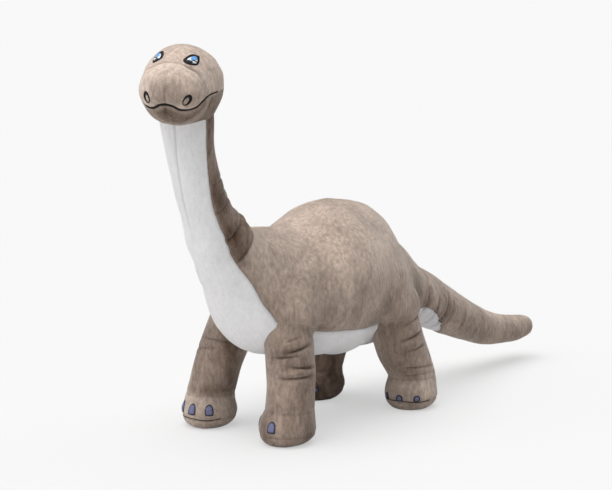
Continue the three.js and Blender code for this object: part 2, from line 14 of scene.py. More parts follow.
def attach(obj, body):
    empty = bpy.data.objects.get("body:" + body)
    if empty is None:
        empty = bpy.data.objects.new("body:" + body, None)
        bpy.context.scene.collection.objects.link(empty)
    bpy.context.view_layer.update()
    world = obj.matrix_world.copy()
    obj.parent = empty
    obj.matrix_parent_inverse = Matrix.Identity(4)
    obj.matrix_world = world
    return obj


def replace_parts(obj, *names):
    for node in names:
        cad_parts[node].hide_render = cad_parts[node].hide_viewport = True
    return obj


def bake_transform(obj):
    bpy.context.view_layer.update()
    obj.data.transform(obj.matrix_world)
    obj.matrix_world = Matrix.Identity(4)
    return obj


bl_info = {
    "name": "Plush Dinosaur",
    "version": (1, 0, 0),
    "blender": (4, 5, 0),
    "location": "3D View > Sidebar > Plush",
    "description": "Sews a plush long-necked dinosaur over its packed frame",
    "category": "Object",
}

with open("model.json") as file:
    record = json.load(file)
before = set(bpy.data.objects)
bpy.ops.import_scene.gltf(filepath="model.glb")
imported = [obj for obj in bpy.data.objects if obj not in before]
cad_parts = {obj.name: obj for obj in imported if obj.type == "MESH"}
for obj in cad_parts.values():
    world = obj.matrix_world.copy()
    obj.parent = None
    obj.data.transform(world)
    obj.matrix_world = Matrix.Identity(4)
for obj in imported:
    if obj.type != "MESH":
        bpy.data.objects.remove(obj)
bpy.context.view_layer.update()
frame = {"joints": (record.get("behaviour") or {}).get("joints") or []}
PLACE = {joint["name"]: np.array(joint["pos_m"]) for joint in frame["joints"]}
TAIL_ROOT = PLACE["tail_sway"]
NECK_ROOT = PLACE["neck_bend"]
HEAD = PLACE["head_turn"]
MIDDLE = TAIL_ROOT[1]
LEFT = np.array([0.0, 1.0, 0.0])
UP = np.array([0.0, 0.0, 1.0])
LEGS = ("front_left", "front_right", "hind_left", "hind_right")
SIDES = (("left", 1), ("right", -1))
MADE = {}

# Fineness of the covers: voxels in metres, rounds of softening, and squares along the head's grid
TORSO_VOXEL = 0.0038
TORSO_SOFTENING = 18
LIMB_VOXEL = 0.003
LIMB_SOFTENING = 5
HEAD_GRID = 28

# The most that the stuffing may swell a cover in metres, and its cloth run
TORSO_SWELL = 0.004
LIMB_SWELL = 0.0015
HEAD_SWELL = 0.0012
STUFFING_PRESSURE = 4.0
STUFFING_STEPS = 20

# Half the width of a fold 2 mm deep, and the height of the soles over the floor, in metres
FOLD_WIDTH = 0.0017
SOLE_LIFT = 0.0002

# Grain of the plush and of the thread, in texture scales
PATCHES = 38.0
CLUMPS = 330.0
FIBRES = 1100.0
STRANDS = 420.0
FLECKS = 900.0

# What the camera looks at and its sensor's width in mm, the ways to the lamps and half the floor's width
CAMERA_TARGET = (0.11426, 0.03907, 0.17)
SENSOR_WIDTH = 36
LAMP_WAYS = {"top": (0.02, 0, 1), "key": (0.52, -0.2, 0.83), "fill": (0.95, -0.2, 0.3)}
FLOOR_HALF = 30


def length(name, default, description):
    return FloatProperty(name=name, description=description, default=default, unit="LENGTH", precision=4)


def colour(name, default, description):
    return FloatVectorProperty(
        name=name, description=description, default=default, subtype="COLOR", size=3, min=0, max=1
    )


def angle(name, degrees, description):
    return FloatProperty(name=name, description=description, default=math.radians(degrees), subtype="ANGLE")


def strength(name, default, description):
    return FloatProperty(name=name, description=description, default=default, min=0)


class PlushSizes(bpy.types.PropertyGroup):
    """Sizes of the toy's forms, in metres."""

    body_length: length("Body length", 0.231, "From the root of the tail to the chest")
    body_width: length("Body width", 0.134, "Across the barrel of the torso")
    body_height: length("Body height", 0.147, "From the belly to the top of the hump")
    belly_clearance: length("Belly clearance", 0.054, "From the floor to the belly")
    chest_round: length("Chest round", 0.044, "How far the chest rounds out in front")
    neck_rise: length("Neck rise", 0.113, "From the neck's root to its top")
    neck_reach: length("Neck reach", 0.049, "How far the neck leans ahead")
    neck_radius: length("Neck radius", 0.021, "Half the thickness of the neck")
    neck_root_radius: length("Neck root radius", 0.0255, "Half the thickness of the neck at its root")
    tail_length: length("Tail length", 0.218, "From the root of the tail to its tip")
    tail_drop: length("Tail drop", 0.069, "How far the tail droops")
    tail_root_radius: length("Tail root radius", 0.030, "Half the thickness of the tail at its root")
    tail_tip_radius: length("Tail tip radius", 0.0115, "Half the thickness of the tail near its tip")
    hip_radius: length("Hip radius", 0.027, "Half the length of the top of a leg")
    leg_radius: length("Leg radius", 0.0218, "Half the thickness of a leg")
    ankle_radius: length("Ankle radius", 0.0217, "Half the thickness of an ankle")
    ankle_up: length("Ankle height", 0.03, "From the floor to the ankle's seam")
    foot_radius: length("Foot radius", 0.0245, "Half the width of a foot")
    sole_up: length("Sole height", 0.0095, "From the floor to the seam above the sole")
    cranium_radius: length("Cranium radius", 0.034, "Half the width of the head")
    cranium_drop: length("Cranium drop", 0.0025, "How far the cranium lies under the head's turn")
    muzzle_length: length("Muzzle length", 0.053, "From the middle of the head to the nose")
    muzzle_width: length("Muzzle width", 0.059, "Across the muzzle")
    muzzle_height: length("Muzzle height", 0.053, "From the chin to the bridge of the muzzle")
    muzzle_drop: length("Muzzle drop", 0.005, "How far the muzzle lies under the middle of the head")
    cloth: length("Cloth", 0.0014, "Thickness of the plush and its backing")
    seam_depth: length("Seam depth", 0.0011, "How deep a seam draws the plush in")
    seam_width: length("Seam width", 0.0017, "Half the width of the groove at a seam")


class PlushColours(bpy.types.PropertyGroup):
    """Colours of the plush and the thread."""

    brown: colour("Brown plush", (0.72, 0.57, 0.475), "Back, sides, legs and head")
    grey: colour("Grey plush", (0.95, 0.94, 0.945), "Throat, chest, belly and the tail's underside")
    dark_thread: colour("Dark thread", (0.012, 0.009, 0.009), "Mouth, nostrils and lids")
    claw_thread: colour("Claw thread", (0.2, 0.21, 0.36), "Claws")
    claw_edge: colour("Claw edge", (0.05, 0.05, 0.075), "Edge of the claws")
    eye_white: colour("Eye white", (0.85, 0.88, 0.9), "White of the eyes")
    iris: colour("Iris", (0.17, 0.42, 0.86), "Iris of the eyes")
    pupil: colour("Pupil", (0.02, 0.026, 0.045), "Pupil of the eyes")
    floor: colour("Floor", (0.8, 0.8, 0.8), "Studio floor")
    backdrop: colour("Backdrop", (0.95, 0.95, 0.95), "What is seen behind the floor")


class PlushStage(bpy.types.PropertyGroup):
    """Camera and light."""

    lens: FloatProperty(name="Lens", description="Focal length", default=107.65, unit="CAMERA")
    distance: length("Distance", 1.6, "From the camera to what it looks at")
    around: angle("Around", 42, "Camera's turn from the toy's front")
    above: angle("Above", 9.5, "Camera's rise over the horizon")
    top: strength("Top light", 3.2, "Strength of the light overhead")
    key: strength("Key light", 1.6, "Strength of the light from the toy's front")
    fill: strength("Fill light", 0.4, "Strength of the low light in front")
    spread: angle("Spread", 70, "Breadth of each light")
    sky: strength("Sky", 0.02, "Strength of the light from all round")
    bounce: strength("Bounce", 0.85, "Share of light that the floor sends back")
    glow: strength("Glow", 0.64, "Share of the floor's colour that the camera sees unshaded")


def sizes():
    return bpy.context.scene.plush_sizes


def colours():
    return bpy.context.scene.plush_colours


# Curves, distances and directions
def unit(vectors):
    return vectors / np.linalg.norm(vectors, axis=-1, keepdims=True)


def smooth_step(values, low, high):
    t = np.clip((values - low) / (high - low), 0, 1)
    return t * t * (3 - 2 * t)


def through(points, shares):
    """A smooth curve through evenly counted points."""
    p = np.asarray(points, float)
    p = np.vstack([2 * p[0] - p[1], p, 2 * p[-1] - p[-2]])
    t = np.asarray(shares, float) * (len(p) - 3)
    i = np.minimum(t.astype(int), len(p) - 4)
    t = (t - i)[:, None]
    a, b, c, d = p[i], p[i + 1], p[i + 2], p[i + 3]
    return 0.5 * (2 * b + (c - a) * t + (2 * a - 5 * b + 4 * c - d) * t**2 + (3 * b - a - 3 * c + d) * t**3)


def beside(points, line):
    """Signed distance in a flat view from a line: above zero on its left."""
    start, step = line[:-1], np.diff(line, axis=0)
    best = np.full(len(points), np.inf)
    signed = np.zeros(len(points))
    for a, ab in zip(start, step):
        gap = points - a
        t = np.clip(gap @ ab / (ab @ ab), 0, 1)
        reach = np.linalg.norm(gap - t[:, None] * ab, axis=1)
        side = ab[0] * gap[:, 1] - ab[1] * gap[:, 0]
        nearer = reach < best - 1e-9
        best[nearer] = reach[nearer]
        signed[nearer] = np.where(side[nearer] < 0, -reach[nearer], reach[nearer])
    return signed


def vertex_normals(points, faces):
    a, b, c, d = points[faces].transpose(1, 0, 2)
    face = np.cross(c - a, d - b)
    summed = np.zeros_like(points)
    for corner in range(4):
        np.add.at(summed, faces[:, corner], face)
    return unit(summed)


class Stuffed:
    """A stuffed form: oval rings along a spine, rounded at either end."""

    FINE = 161

    def __init__(self, spine, girths, start_round=0.0, end_round=0.0, taper=0.0, ridge=0.0):
        shares = np.linspace(0, 1, self.FINE)
        self.centres = through(spine, shares)
        self.girths = through(girths, shares)
        steps = np.linalg.norm(np.diff(self.centres, axis=0), axis=1)
        self.lengths = np.concatenate([[0], np.cumsum(steps)])
        self.along = unit(np.gradient(self.centres, axis=0))
        self.side = unit(LEFT - self.along * self.along[:, 1:2])
        self.over = np.cross(self.along, self.side)
        self.start_round, self.end_round = start_round, end_round
        self.taper, self.ridge = taper, ridge

    def ring(self, index, sides, shrink=1.0, push=0.0):
        angles = np.arange(sides) * 2 * math.pi / sides
        wide, deep = self.girths[index] * shrink
        rise = np.sin(angles)
        full = 1 + self.taper * rise - self.ridge * np.maximum(rise, 0) ** 2
        across = (wide * np.cos(angles) * full)[:, None] * self.side[index]
        upward = (deep * rise)[:, None] * self.over[index]
        return self.centres[index] + push * self.along[index] + across + upward

    def mesh(self, rings=48, sides=40, caps=8):
        rows = []
        for lean in np.linspace(math.pi / 2, 0, caps, endpoint=False)[1:] if self.start_round else []:
            rows.append(self.ring(0, sides, math.cos(lean), -self.start_round * math.sin(lean)))
        rows += [self.ring(i, sides) for i in np.linspace(0, self.FINE - 1, rings).round().astype(int)]
        for lean in np.linspace(0, math.pi / 2, caps, endpoint=False)[1:] if self.end_round else []:
            rows.append(self.ring(-1, sides, math.cos(lean), self.end_round * math.sin(lean)))
        near_end = self.centres[0] - self.start_round * self.along[0]
        far_end = self.centres[-1] + self.end_round * self.along[-1]
        points = np.vstack([*rows, near_end, far_end])
        faces, last = [], len(rows) - 1
        for i in range(sides):
            j = (i + 1) % sides
            faces.append((len(points) - 2, j, i))
            faces.append((len(points) - 1, last * sides + i, last * sides + j))
            for row in range(0, last * sides, sides):
                faces.append((row + i, row + j, row + sides + j, row + sides + i))
        return points, faces

    def measure(self, points):
        """Distance along the spine, turn round it and reach from it."""
        near = (self.centres**2).sum(1) - 2 * points @ self.centres.T
        index = near.argmin(1)
        out = points - self.centres[index]
        along = self.lengths[index] + (out * self.along[index]).sum(1)
        turn = np.arctan2((out * self.over[index]).sum(1), (out * self.side[index]).sum(1))
        return along, np.degrees(turn), np.linalg.norm(out, axis=1)


# From forms to plush: even mesh, stuffing, folds, seams and panels
def loose_object(name, points, faces):
    mesh = bpy.data.meshes.new(name)
    mesh.from_pydata([tuple(p) for p in points], [], [tuple(int(i) for i in f) for f in faces])
    thing = bpy.data.objects.new(name, mesh)
    bpy.context.scene.collection.objects.link(thing)
    return thing


def settled(thing):
    """Puts an object's modifiers into its mesh."""
    shown = thing.evaluated_get(bpy.context.evaluated_depsgraph_get())
    mesh = bpy.data.meshes.new_from_object(shown)
    thing.modifiers.clear()
    old, thing.data = thing.data, mesh
    bpy.data.meshes.remove(old)
    return thing


def corners_of(mesh):
    flat = np.zeros(len(mesh.vertices) * 3)
    mesh.vertices.foreach_get("co", flat)
    return flat.reshape(-1, 3)


def evened(name, points, faces, voxel, softening):
    """An even mesh of four-sided faces over a closed form."""
    thing = loose_object(name, points, faces)
    even = thing.modifiers.new("even", "REMESH")
    even.mode = "VOXEL"
    even.voxel_size = voxel
    soft = thing.modifiers.new("soften", "SMOOTH")
    soft.factor, soft.iterations = 0.5, softening
    return settled(thing)


def filled(thing, held, most):
    """Swells a cover a little by its stuffing in a short cloth run, held where it is sewn."""
    rest = corners_of(thing.data)
    group = thing.vertex_groups.new(name="sewn")
    for index in np.nonzero(held > 0.02)[0]:
        group.add([int(index)], float(held[index]), "REPLACE")
    run = thing.modifiers.new("stuffing", "CLOTH")
    cloth = run.settings
    cloth.quality = 4
    cloth.mass = 0.2
    cloth.tension_stiffness = cloth.compression_stiffness = 12
    cloth.shear_stiffness = 5
    cloth.bending_stiffness = 0.4
    cloth.use_pressure = True
    cloth.uniform_pressure_force = STUFFING_PRESSURE
    cloth.effector_weights.gravity = 0
    cloth.vertex_group_mass = "sewn"
    cloth.pin_stiffness = 1
    run.point_cache.frame_start, run.point_cache.frame_end = 1, STUFFING_STEPS
    for step in range(1, STUFFING_STEPS + 1):
        bpy.context.scene.frame_set(step)
    shown = thing.evaluated_get(bpy.context.evaluated_depsgraph_get())
    shift = corners_of(shown.data) - rest
    thing.modifiers.clear()
    bpy.context.scene.frame_set(1)
    size = np.linalg.norm(shift, axis=1, keepdims=True)
    shift *= np.minimum(1, most / np.maximum(size, 1e-9))
    thing.data.vertices.foreach_set("co", (rest + shift).ravel())
    thing.data.update()
    return thing


class Skin:
    """A cover as numbers: points, normals, painted shade in creases, how its pile lies with painted shade
    and light, and named lines to cut on.
    """

    def __init__(self, thing, halvings):
        finer = thing.modifiers.new("finer", "SUBSURF")
        finer.levels = finer.render_levels = halvings
        mesh = settled(thing).data
        points = corners_of(mesh)
        self.quads = np.array([list(p.vertices) for p in mesh.polygons if len(p.vertices) == 4])
        self.data = {"point": points}
        # channels: painted shade in creases and seams, and the nap: pile lying down or standing up, with
        # painted shade and painted light
        for channel in ("crease", "nap"):
            self.data[channel] = np.zeros((len(points), 1))
        self.faces = [list(map(int, p.vertices)) for p in mesh.polygons]
        self.renew()
        bpy.data.objects.remove(thing)
        bpy.data.meshes.remove(mesh)

    def renew(self):
        self.data["normal"] = vertex_normals(self.data["point"], self.quads)

    @property
    def points(self):
        return self.data["point"]

    def press(self, depth):
        self.data["point"] = self.points - self.data["normal"] * depth[:, None]

    def shade(self, amount):
        # painted shade: darkens the plush colour in creases, folds and seams
        self.data["crease"] = np.maximum(self.data["crease"], amount[:, None])

    def brush(self, amount):
        """Darkens the brown: pile lying down, and painted shade."""
        self.data["nap"] = np.maximum(self.data["nap"], np.reshape(amount, (-1, 1)))

    def lift(self, amount):
        """Lightens the brown: pile standing up, and painted light."""
        self.data["nap"] = self.data["nap"] - np.reshape(amount, (-1, 1))

    def groove(self, field, depth, width, shade=0.8, where=1.0):
        share = np.exp(-((field / width) ** 2)) * where
        self.press(depth * share)
        # painted shade along the groove
        self.shade(shade * np.exp(-((field / (0.6 * width)) ** 2)) * where)

    def lumps(self, size, height, seed):
        lift = [noise.noise(Vector(p) / size + Vector((seed, 0, 0))) for p in self.points]
        self.press(-height * np.array(lift))

    def folds(self, along, turn, folds, where=1.0):
        """Creases across a limb: place along it, first and last turn, slope and depth, in mm and degrees."""
        for place, first, last, slope, depth in folds:
            half = (last - first) / 2
            off = (turn - (first + last) / 2 + 180) % 360 - 180
            window = np.clip(1 - (off / half) ** 2, 0, 1) * where
            gap = along - (place + slope * np.clip(off / half, -1, 1)) / 1000
            wide = FOLD_WIDTH * (0.6 + 0.2 * depth)
            puff = np.exp(-(((np.abs(gap) - 2.6 * wide) / (2 * wide)) ** 2))
            self.press(window * (np.exp(-((gap / wide) ** 2)) - 0.45 * puff) * depth / 1000)
            # painted shade in the bottom of each fold
            self.shade(np.exp(-((gap / (0.6 * wide)) ** 2)) * window * min(0.95, depth / 2.3))
        self.renew()

    def valley(self, marks, depth, width, shade):
        """A soft hollow along marks in the side view, on the toy's left, with shade painted into it."""
        marks = np.array(marks)
        reach = beside(self.points[:, [0, 2]], through(marks[:, [0, 2]], np.linspace(0, 1, 20)))
        near = np.exp(-((reach / width) ** 2)) * smooth_step(self.points[:, 1] - MIDDLE, 0.015, 0.03)
        self.press(depth * near)
        self.shade(shade * near)

    def cut(self, **lines):
        """Cuts the cover along each named line, given as the distance from it."""
        for name, field in lines.items():
            self.data[name] = field[:, None].copy()
        for name in lines:
            self.split(name)

    def split(self, name):
        """Cuts every face along a named line."""
        s = self.data[name][:, 0]
        s[np.abs(s) < 2.5e-4] = 0
        count, rows, found, faces = len(s), [], {}, []
        for face in self.faces:
            values = [s[i] for i in face]
            if min(values) >= 0 or max(values) <= 0:
                faces.append(face)
                continue
            above, under = [], []
            for i, j in zip(face, face[1:] + face[:1]):
                if s[i] >= 0:
                    above.append(i)
                if s[i] <= 0:
                    under.append(i)
                if s[i] * s[j] < 0:
                    key = (min(i, j), max(i, j))
                    if key not in found:
                        found[key] = count + len(rows)
                        rows.append((*key, s[key[0]] / (s[key[0]] - s[key[1]])))
                    above.append(found[key])
                    under.append(found[key])
            faces += [f for f in (above, under) if len(f) > 2]
        self.faces = faces
        if not rows:
            return
        first, second, share = (np.array(column) for column in zip(*rows))
        for key, old in self.data.items():
            new = old[first] + (old[second] - old[first]) * share[:, None]
            self.data[key] = np.vstack([old, new])
        self.data[name][count:] = 0

    def pick(self, **signs):
        """Faces on the given sides of the named lines."""
        kept = self.faces
        for name, sign in signs.items():
            s = self.data[name][:, 0] * sign
            kept = [f for f in kept if sum(s[i] for i in f) > 0]
        return kept

    def piece(self, name, tone, faces, *nodes):
        """A panel of brown or grey plush as thick as its cloth, that stands for CAD nodes."""
        used = sorted({i for f in faces for i in f})
        index = {old: new for new, old in enumerate(used)}
        count = len(used)
        outer = [[index[i] for i in f] for f in faces]
        edges = {(a, b) for f in outer for a, b in zip(f, f[1:] + f[:1])}
        rim = [(b, a, a + count, b + count) for a, b in edges if (b, a) not in edges]
        inner = [[i + count for i in reversed(f)] for f in outer]
        points = self.points[used]
        ways = unit(self.data["normal"][used])
        lining = points - ways * sizes().cloth
        thing = loose_object(name, np.vstack([points, lining]), outer + inner + sorted(rim))
        mesh = thing.data
        mesh.polygons.foreach_set("use_smooth", [True] * len(mesh.polygons))
        mesh.normals_split_custom_set_from_vertices(np.vstack([ways, -ways]))
        # the painted shade in creases, and the nap with its painted shade and light, go onto the panel as
        # attributes
        for channel in ("crease", "nap"):
            values = mesh.attributes.new(channel, "FLOAT", "POINT")
            values.data.foreach_set("value", np.tile(self.data[channel][used, 0], 2).astype(np.float32))
        mesh.materials.append(finishes()[tone])
        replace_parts(thing, *nodes)
        return thing

    def tree(self):
        return BVHTree.FromPolygons([tuple(p) for p in self.points], self.quads.tolist())


def outside(tree, points):
    """Distance outside a closed cover, below zero inside it."""
    gaps = np.zeros(len(points))
    for i, p in enumerate(points):
        near, normal, _, reach = tree.find_nearest(Vector(p))
        gaps[i] = reach if (Vector(p) - near).dot(normal) > 0 else -reach
    return gaps


def run_together(thing, tree, rounding, outer):
    """How far a cover is drawn out to run into another in a round hollow; the outer one shows there."""
    points = corners_of(thing.data)
    quads = np.array([list(p.vertices) for p in thing.data.polygons])
    ways = vertex_normals(points, quads)
    depth = outside(tree, points)
    k = rounding(points)
    near = (depth < k) & (depth > -1.2 * k)
    start, way, k, depth = points[near], ways[near], k[near], depth[near]
    step = 0.002
    leaving = (outside(tree, start + way * step) - depth) / step
    push = np.zeros(len(start))
    for _ in range(9):
        gap = outside(tree, start + way * push[:, None])
        overlap = np.clip(1 - np.abs(push - gap) / k, 0, None)
        push = np.clip(push - 0.9 * (np.minimum(push, gap) - overlap**2 * k / 4), 0, 1.3 * k)
    if outer:
        push *= smooth_step(depth, -0.3 * k, -0.05 * k)
    else:
        push *= smooth_step(depth, -1.1 * k, -0.7 * k) * smooth_step(leaving, 0.05, 0.35)
        push -= 0.0004 * smooth_step(-depth, 0.1 * k, 0.4 * k)
    moved = np.zeros_like(points)
    moved[near] = way * push[:, None]
    return moved


def tree_of(thing):
    faces = [list(p.vertices) for p in thing.data.polygons]
    return BVHTree.FromPolygons([tuple(p) for p in corners_of(thing.data)], faces)


def shifted(thing, moved):
    thing.data.vertices.foreach_set("co", (corners_of(thing.data) + moved).ravel())
    thing.data.update()
    return thing


# Finishes
def link(tree, source, target):
    tree.links.new(source, target)


def texture(tree, kind, coordinates, **values):
    node = tree.nodes.new(kind)
    for name, value in values.items():
        node.inputs[name].default_value = value
    link(tree, coordinates, node.inputs["Vector"])
    return node


def fed(tree, sockets, values):
    """Feeds each socket from another socket, a number or a colour."""
    for socket, value in zip(sockets, values):
        if isinstance(value, bpy.types.NodeSocket):
            link(tree, value, socket)
        else:
            socket.default_value = value if isinstance(value, float) else (*value, 1)


def mixed(tree, blend, share, first, second):
    node = tree.nodes.new("ShaderNodeMix")
    node.data_type, node.blend_type = "RGBA", blend
    fed(tree, (node.inputs[0], node.inputs[6], node.inputs[7]), (share, first, second))
    return node.outputs[2]


def either(tree, share, first, second):
    """One shader or another."""
    node = tree.nodes.new("ShaderNodeMixShader")
    fed(tree, node.inputs, (share, first.outputs[0], second.outputs[0]))
    return node


def camera_sees(tree):
    return tree.nodes.new("ShaderNodeLightPath").outputs["Is Camera Ray"]


def ramped(tree, value, *stops):
    """A grey between two stops, each a place and a tone."""
    node = tree.nodes.new("ShaderNodeValToRGB")
    ramp = node.color_ramp
    for element, (place, tone) in zip(ramp.elements, stops):
        element.position = place
        element.color = (tone, tone, tone, 1)
    link(tree, value, node.inputs["Fac"])
    return node.outputs["Color"]


def bumped(tree, height, strong, high, under=None):
    node = tree.nodes.new("ShaderNodeBump")
    node.inputs["Strength"].default_value = strong
    node.inputs["Distance"].default_value = high
    link(tree, height, node.inputs["Height"])
    if under:
        link(tree, under, node.inputs["Normal"])
    return node.outputs["Normal"]


def new_finish(name):
    """A finish, its nodes, its shader and the place on the piece."""
    finish = bpy.data.materials.new(name)
    finish.use_nodes = True
    tree = finish.node_tree
    place = tree.nodes.new("ShaderNodeTexCoord").outputs["Object"]
    return finish, tree, tree.nodes["Principled BSDF"], place


def plush(name, tone, sheen, nap, laid_and_shaded, crease):
    """Short-pile plush: a nap that lies in patches, clumps of pile and fibres; pile lying down or standing
    up, with painted shade and painted light; painted shade in creases.
    """
    finish, tree, shader, place = new_finish(name)
    lie = tree.nodes.new("ShaderNodeMapping")
    lie.inputs["Scale"].default_value = (1, 1, 0.45)
    link(tree, place, lie.inputs["Vector"])
    lain = lie.outputs["Vector"]
    cloud = "ShaderNodeTexNoise"
    patches = texture(tree, cloud, lain, Scale=PATCHES, Detail=4.0, Roughness=0.6, Distortion=0.6)
    clumps = texture(tree, cloud, lain, Scale=CLUMPS, Detail=4.0, Roughness=0.62)
    fibres = texture(tree, cloud, place, Scale=FIBRES, Detail=2.0, Roughness=0.6)
    shade = ramped(tree, patches.outputs["Fac"], (0.34, 1 - 1.6 * nap), (0.64, 1.0))
    tuft = ramped(tree, clumps.outputs["Fac"], (0.3, 1 - 2.1 * nap), (0.68, 1.0))
    hair = ramped(tree, fibres.outputs["Fac"], (0.25, 1 - 0.8 * nap), (0.75, 1.0))
    base = mixed(tree, "MULTIPLY", 1.0, tuple(tone), shade)
    base = mixed(tree, "MULTIPLY", 1.0, base, tuft)
    base = mixed(tree, "MULTIPLY", 1.0, base, hair)
    blotch = ramped(tree, patches.outputs["Fac"], (0.36, 1.05), (0.62, 0.6))
    # the nap darkens the colour for pile lying down and painted shade, and below zero lightens it as painted
    # light; the other channel is painted shade in creases
    for channel, tint in (("nap", laid_and_shaded), ("crease", crease)):
        held = tree.nodes.new("ShaderNodeAttribute")
        held.attribute_name = channel
        share = held.outputs["Fac"]
        if channel == "nap":
            share = mixed(tree, "MULTIPLY", 1.0, held.outputs["Color"], blotch)
        deep = mixed(tree, "MULTIPLY", 1.0, base, tint)
        base = mixed(tree, "MIX", share, base, deep)
        base.node.clamp_factor = False
    link(tree, base, shader.inputs["Base Color"])
    normal = bumped(tree, clumps.outputs["Fac"], strong=0.6, high=0.0022)
    normal = bumped(tree, fibres.outputs["Fac"], strong=0.8, high=0.001, under=normal)
    link(tree, normal, shader.inputs["Normal"])
    shader.inputs["Roughness"].default_value = 0.95
    shader.inputs["Specular IOR Level"].default_value = 0.1
    shader.inputs["Sheen Weight"].default_value = sheen
    shader.inputs["Sheen Roughness"].default_value = 0.4
    shader.inputs["Sheen Tint"].default_value = (1, 0.94, 0.88, 1)
    return finish


def thread(name, tone):
    """Satin stitch: fine shiny strands side by side."""
    finish, tree, shader, place = new_finish(name)
    strands = texture(tree, "ShaderNodeTexWave", place, Scale=STRANDS, Distortion=1.2, Detail=1.0)
    grain = texture(tree, "ShaderNodeTexNoise", place, Scale=FLECKS, Detail=2.0)
    strands.bands_direction = "DIAGONAL"
    streak = ramped(tree, strands.outputs["Fac"], (0.0, 0.72), (0.6, 1.0))
    fleck = ramped(tree, grain.outputs["Fac"], (0.3, 0.8), (0.7, 1.0))
    base = mixed(tree, "MULTIPLY", 1.0, tuple(tone), streak)
    link(tree, mixed(tree, "MULTIPLY", 1.0, base, fleck), shader.inputs["Base Color"])
    normal = bumped(tree, strands.outputs["Fac"], strong=0.5, high=0.0004)
    link(tree, normal, shader.inputs["Normal"])
    shader.inputs["Roughness"].default_value = 0.6
    shader.inputs["Specular IOR Level"].default_value = 0.18
    return finish


def finishes():
    """The toy's finishes, made once."""
    if "finish" not in MADE:
        c = colours()
        MADE["finish"] = {
            # tints of the darkened plush: pile lying down with painted shade, and painted shade in creases
            "brown": plush(
                "brown_plush", c.brown, sheen=0.5, nap=0.2,
                laid_and_shaded=(0.25, 0.19, 0.145), crease=(0.26, 0.21, 0.18),
            ),
            "grey": plush(
                "grey_plush", c.grey, sheen=0.2, nap=0.042,
                laid_and_shaded=(0.8, 0.79, 0.8), crease=(0.55, 0.54, 0.55),
            ),
            "dark": thread("dark_thread", c.dark_thread),
            "claw": thread("claw_thread", c.claw_thread),
            "edge": thread("claw_edge_thread", c.claw_edge),
            "white": thread("eye_white_thread", c.eye_white),
            "iris": thread("iris_thread", c.iris),
            "pupil": thread("pupil_thread", c.pupil),
        }
    return MADE["finish"]


# Forms of the toy
def body_at(share, rise):
    s = sizes()
    return np.array([TAIL_ROOT[0] + s.body_length * share, MIDDLE, s.belly_clearance + s.body_height * rise])


def neck_at(reach, rise, ahead=0.0):
    s = sizes()
    return NECK_ROOT + np.array([s.neck_reach * reach + s.neck_radius * ahead, 0, s.neck_rise * rise])


def tail_at(share, drop):
    s = sizes()
    return TAIL_ROOT - np.array([s.tail_length * share, 0, s.tail_drop * drop])


def side_seam(points):
    """Distance above the seam between brown sides and grey underside, drawn in the side view."""
    marks = [
        tail_at(0.38, 0.96), tail_at(0.27, 0.68), tail_at(0.13, 0.31),
        body_at(0, 0.22), body_at(0.18, 0.19), body_at(0.4, 0.22), body_at(0.68, 0.2625),
        body_at(0.87, 0.33), body_at(0.93, 0.42), body_at(1, 0.62), body_at(1.062, 0.77),
        neck_at(0.29, 0.16, 0.55), neck_at(0.61, 0.4, 0.35), neck_at(0.86, 0.73, 0.05), neck_at(1.02, 1.5),
    ]
    line = through([(m[0], m[2]) for m in marks], np.linspace(0, 1, 90))
    return beside(points[:, [0, 2]], line)


# How far each ankle lies ahead of its hip and outside it in mm, where the toes point in degrees,
# how far the knee lies ahead in mm, and how far the shin and the foot are darkened, by pile lying down and
# by painted shade
Stance = namedtuple("Stance", "ahead splay toe knee shin foot")
STANCE = {
    "front_left": Stance(9, 6, -35, 0, 0.65, 0.68),
    "front_right": Stance(10, 14, 0, 0, 0.8, 0),
    "hind_left": Stance(-19.5, 4.5, 15, 6, 0.6, 0),
    "hind_right": Stance(12, 7, 0, 0, 1, 1),
}


def torso_shape():
    s = sizes()
    rows = [
        (0.08, 0.37, 0.56, 0.64), (0.165, 0.395, 0.68, 0.785), (0.225, 0.43, 0.76, 0.86),
        (0.31, 0.4775, 0.87, 0.97), (0.46, 0.507, 1, 0.986), (0.64, 0.455, 0.95, 0.83),
        (0.81, 0.452, 0.76, 0.676),
    ]
    collar = s.tail_root_radius + 0.0045
    spine = [TAIL_ROOT] + [body_at(along, rise) for along, rise, _, _ in rows]
    girths = [(collar, collar)] + [(w * s.body_width / 2, d * s.body_height / 2) for _, _, w, d in rows]
    return Stuffed(spine, girths, start_round=0.013, end_round=s.chest_round, taper=0.08, ridge=0.41)


def bib_shape():
    """The chest where it rises into the neck."""
    spine = [body_at(0.87, 0.4), body_at(0.95, 0.62), neck_at(0.2, 0.12)]
    girths = [(0.042, 0.029), (0.034, 0.027), (0.024, 0.023)]
    return Stuffed(spine, girths, start_round=0.026, end_round=0.02)


def nape_shape():
    """The back where it rises into the neck."""
    spine = [body_at(share, 0.665) for share in (0.66, 0.78, 0.9)]
    return Stuffed(spine, [(0.034, 0.034)] * 3, start_round=0.03, end_round=0.02)


def neck_shape():
    s = sizes()
    marks = ((-0.04, 0), (0.29, 0.16), (0.61, 0.4), (0.86, 0.73), (0.96, 1), (1.02, 1.2))
    swell = np.array([1, 0.5, 0.06, -0.07, 0.4, 0.5])
    radii = s.neck_radius + (s.neck_root_radius - s.neck_radius) * swell
    girths = np.stack([radii, radii], 1)
    return Stuffed([neck_at(*m) for m in marks], girths, start_round=0.012, end_round=0.008)


def tail_shape():
    s = sizes()
    marks = ((0, 0), (0.17, 0.2), (0.4, 0.54), (0.64, 0.85), (0.85, 0.98), (0.97, 1))
    swell = np.array([1, 0.82, 0.56, 0.35, 0.17, 0.03])
    radii = s.tail_tip_radius + (s.tail_root_radius - s.tail_tip_radius) * swell
    girths = np.stack([radii, radii], 1)
    return Stuffed([tail_at(*m) for m in marks], girths, s.tail_root_radius, s.tail_tip_radius)


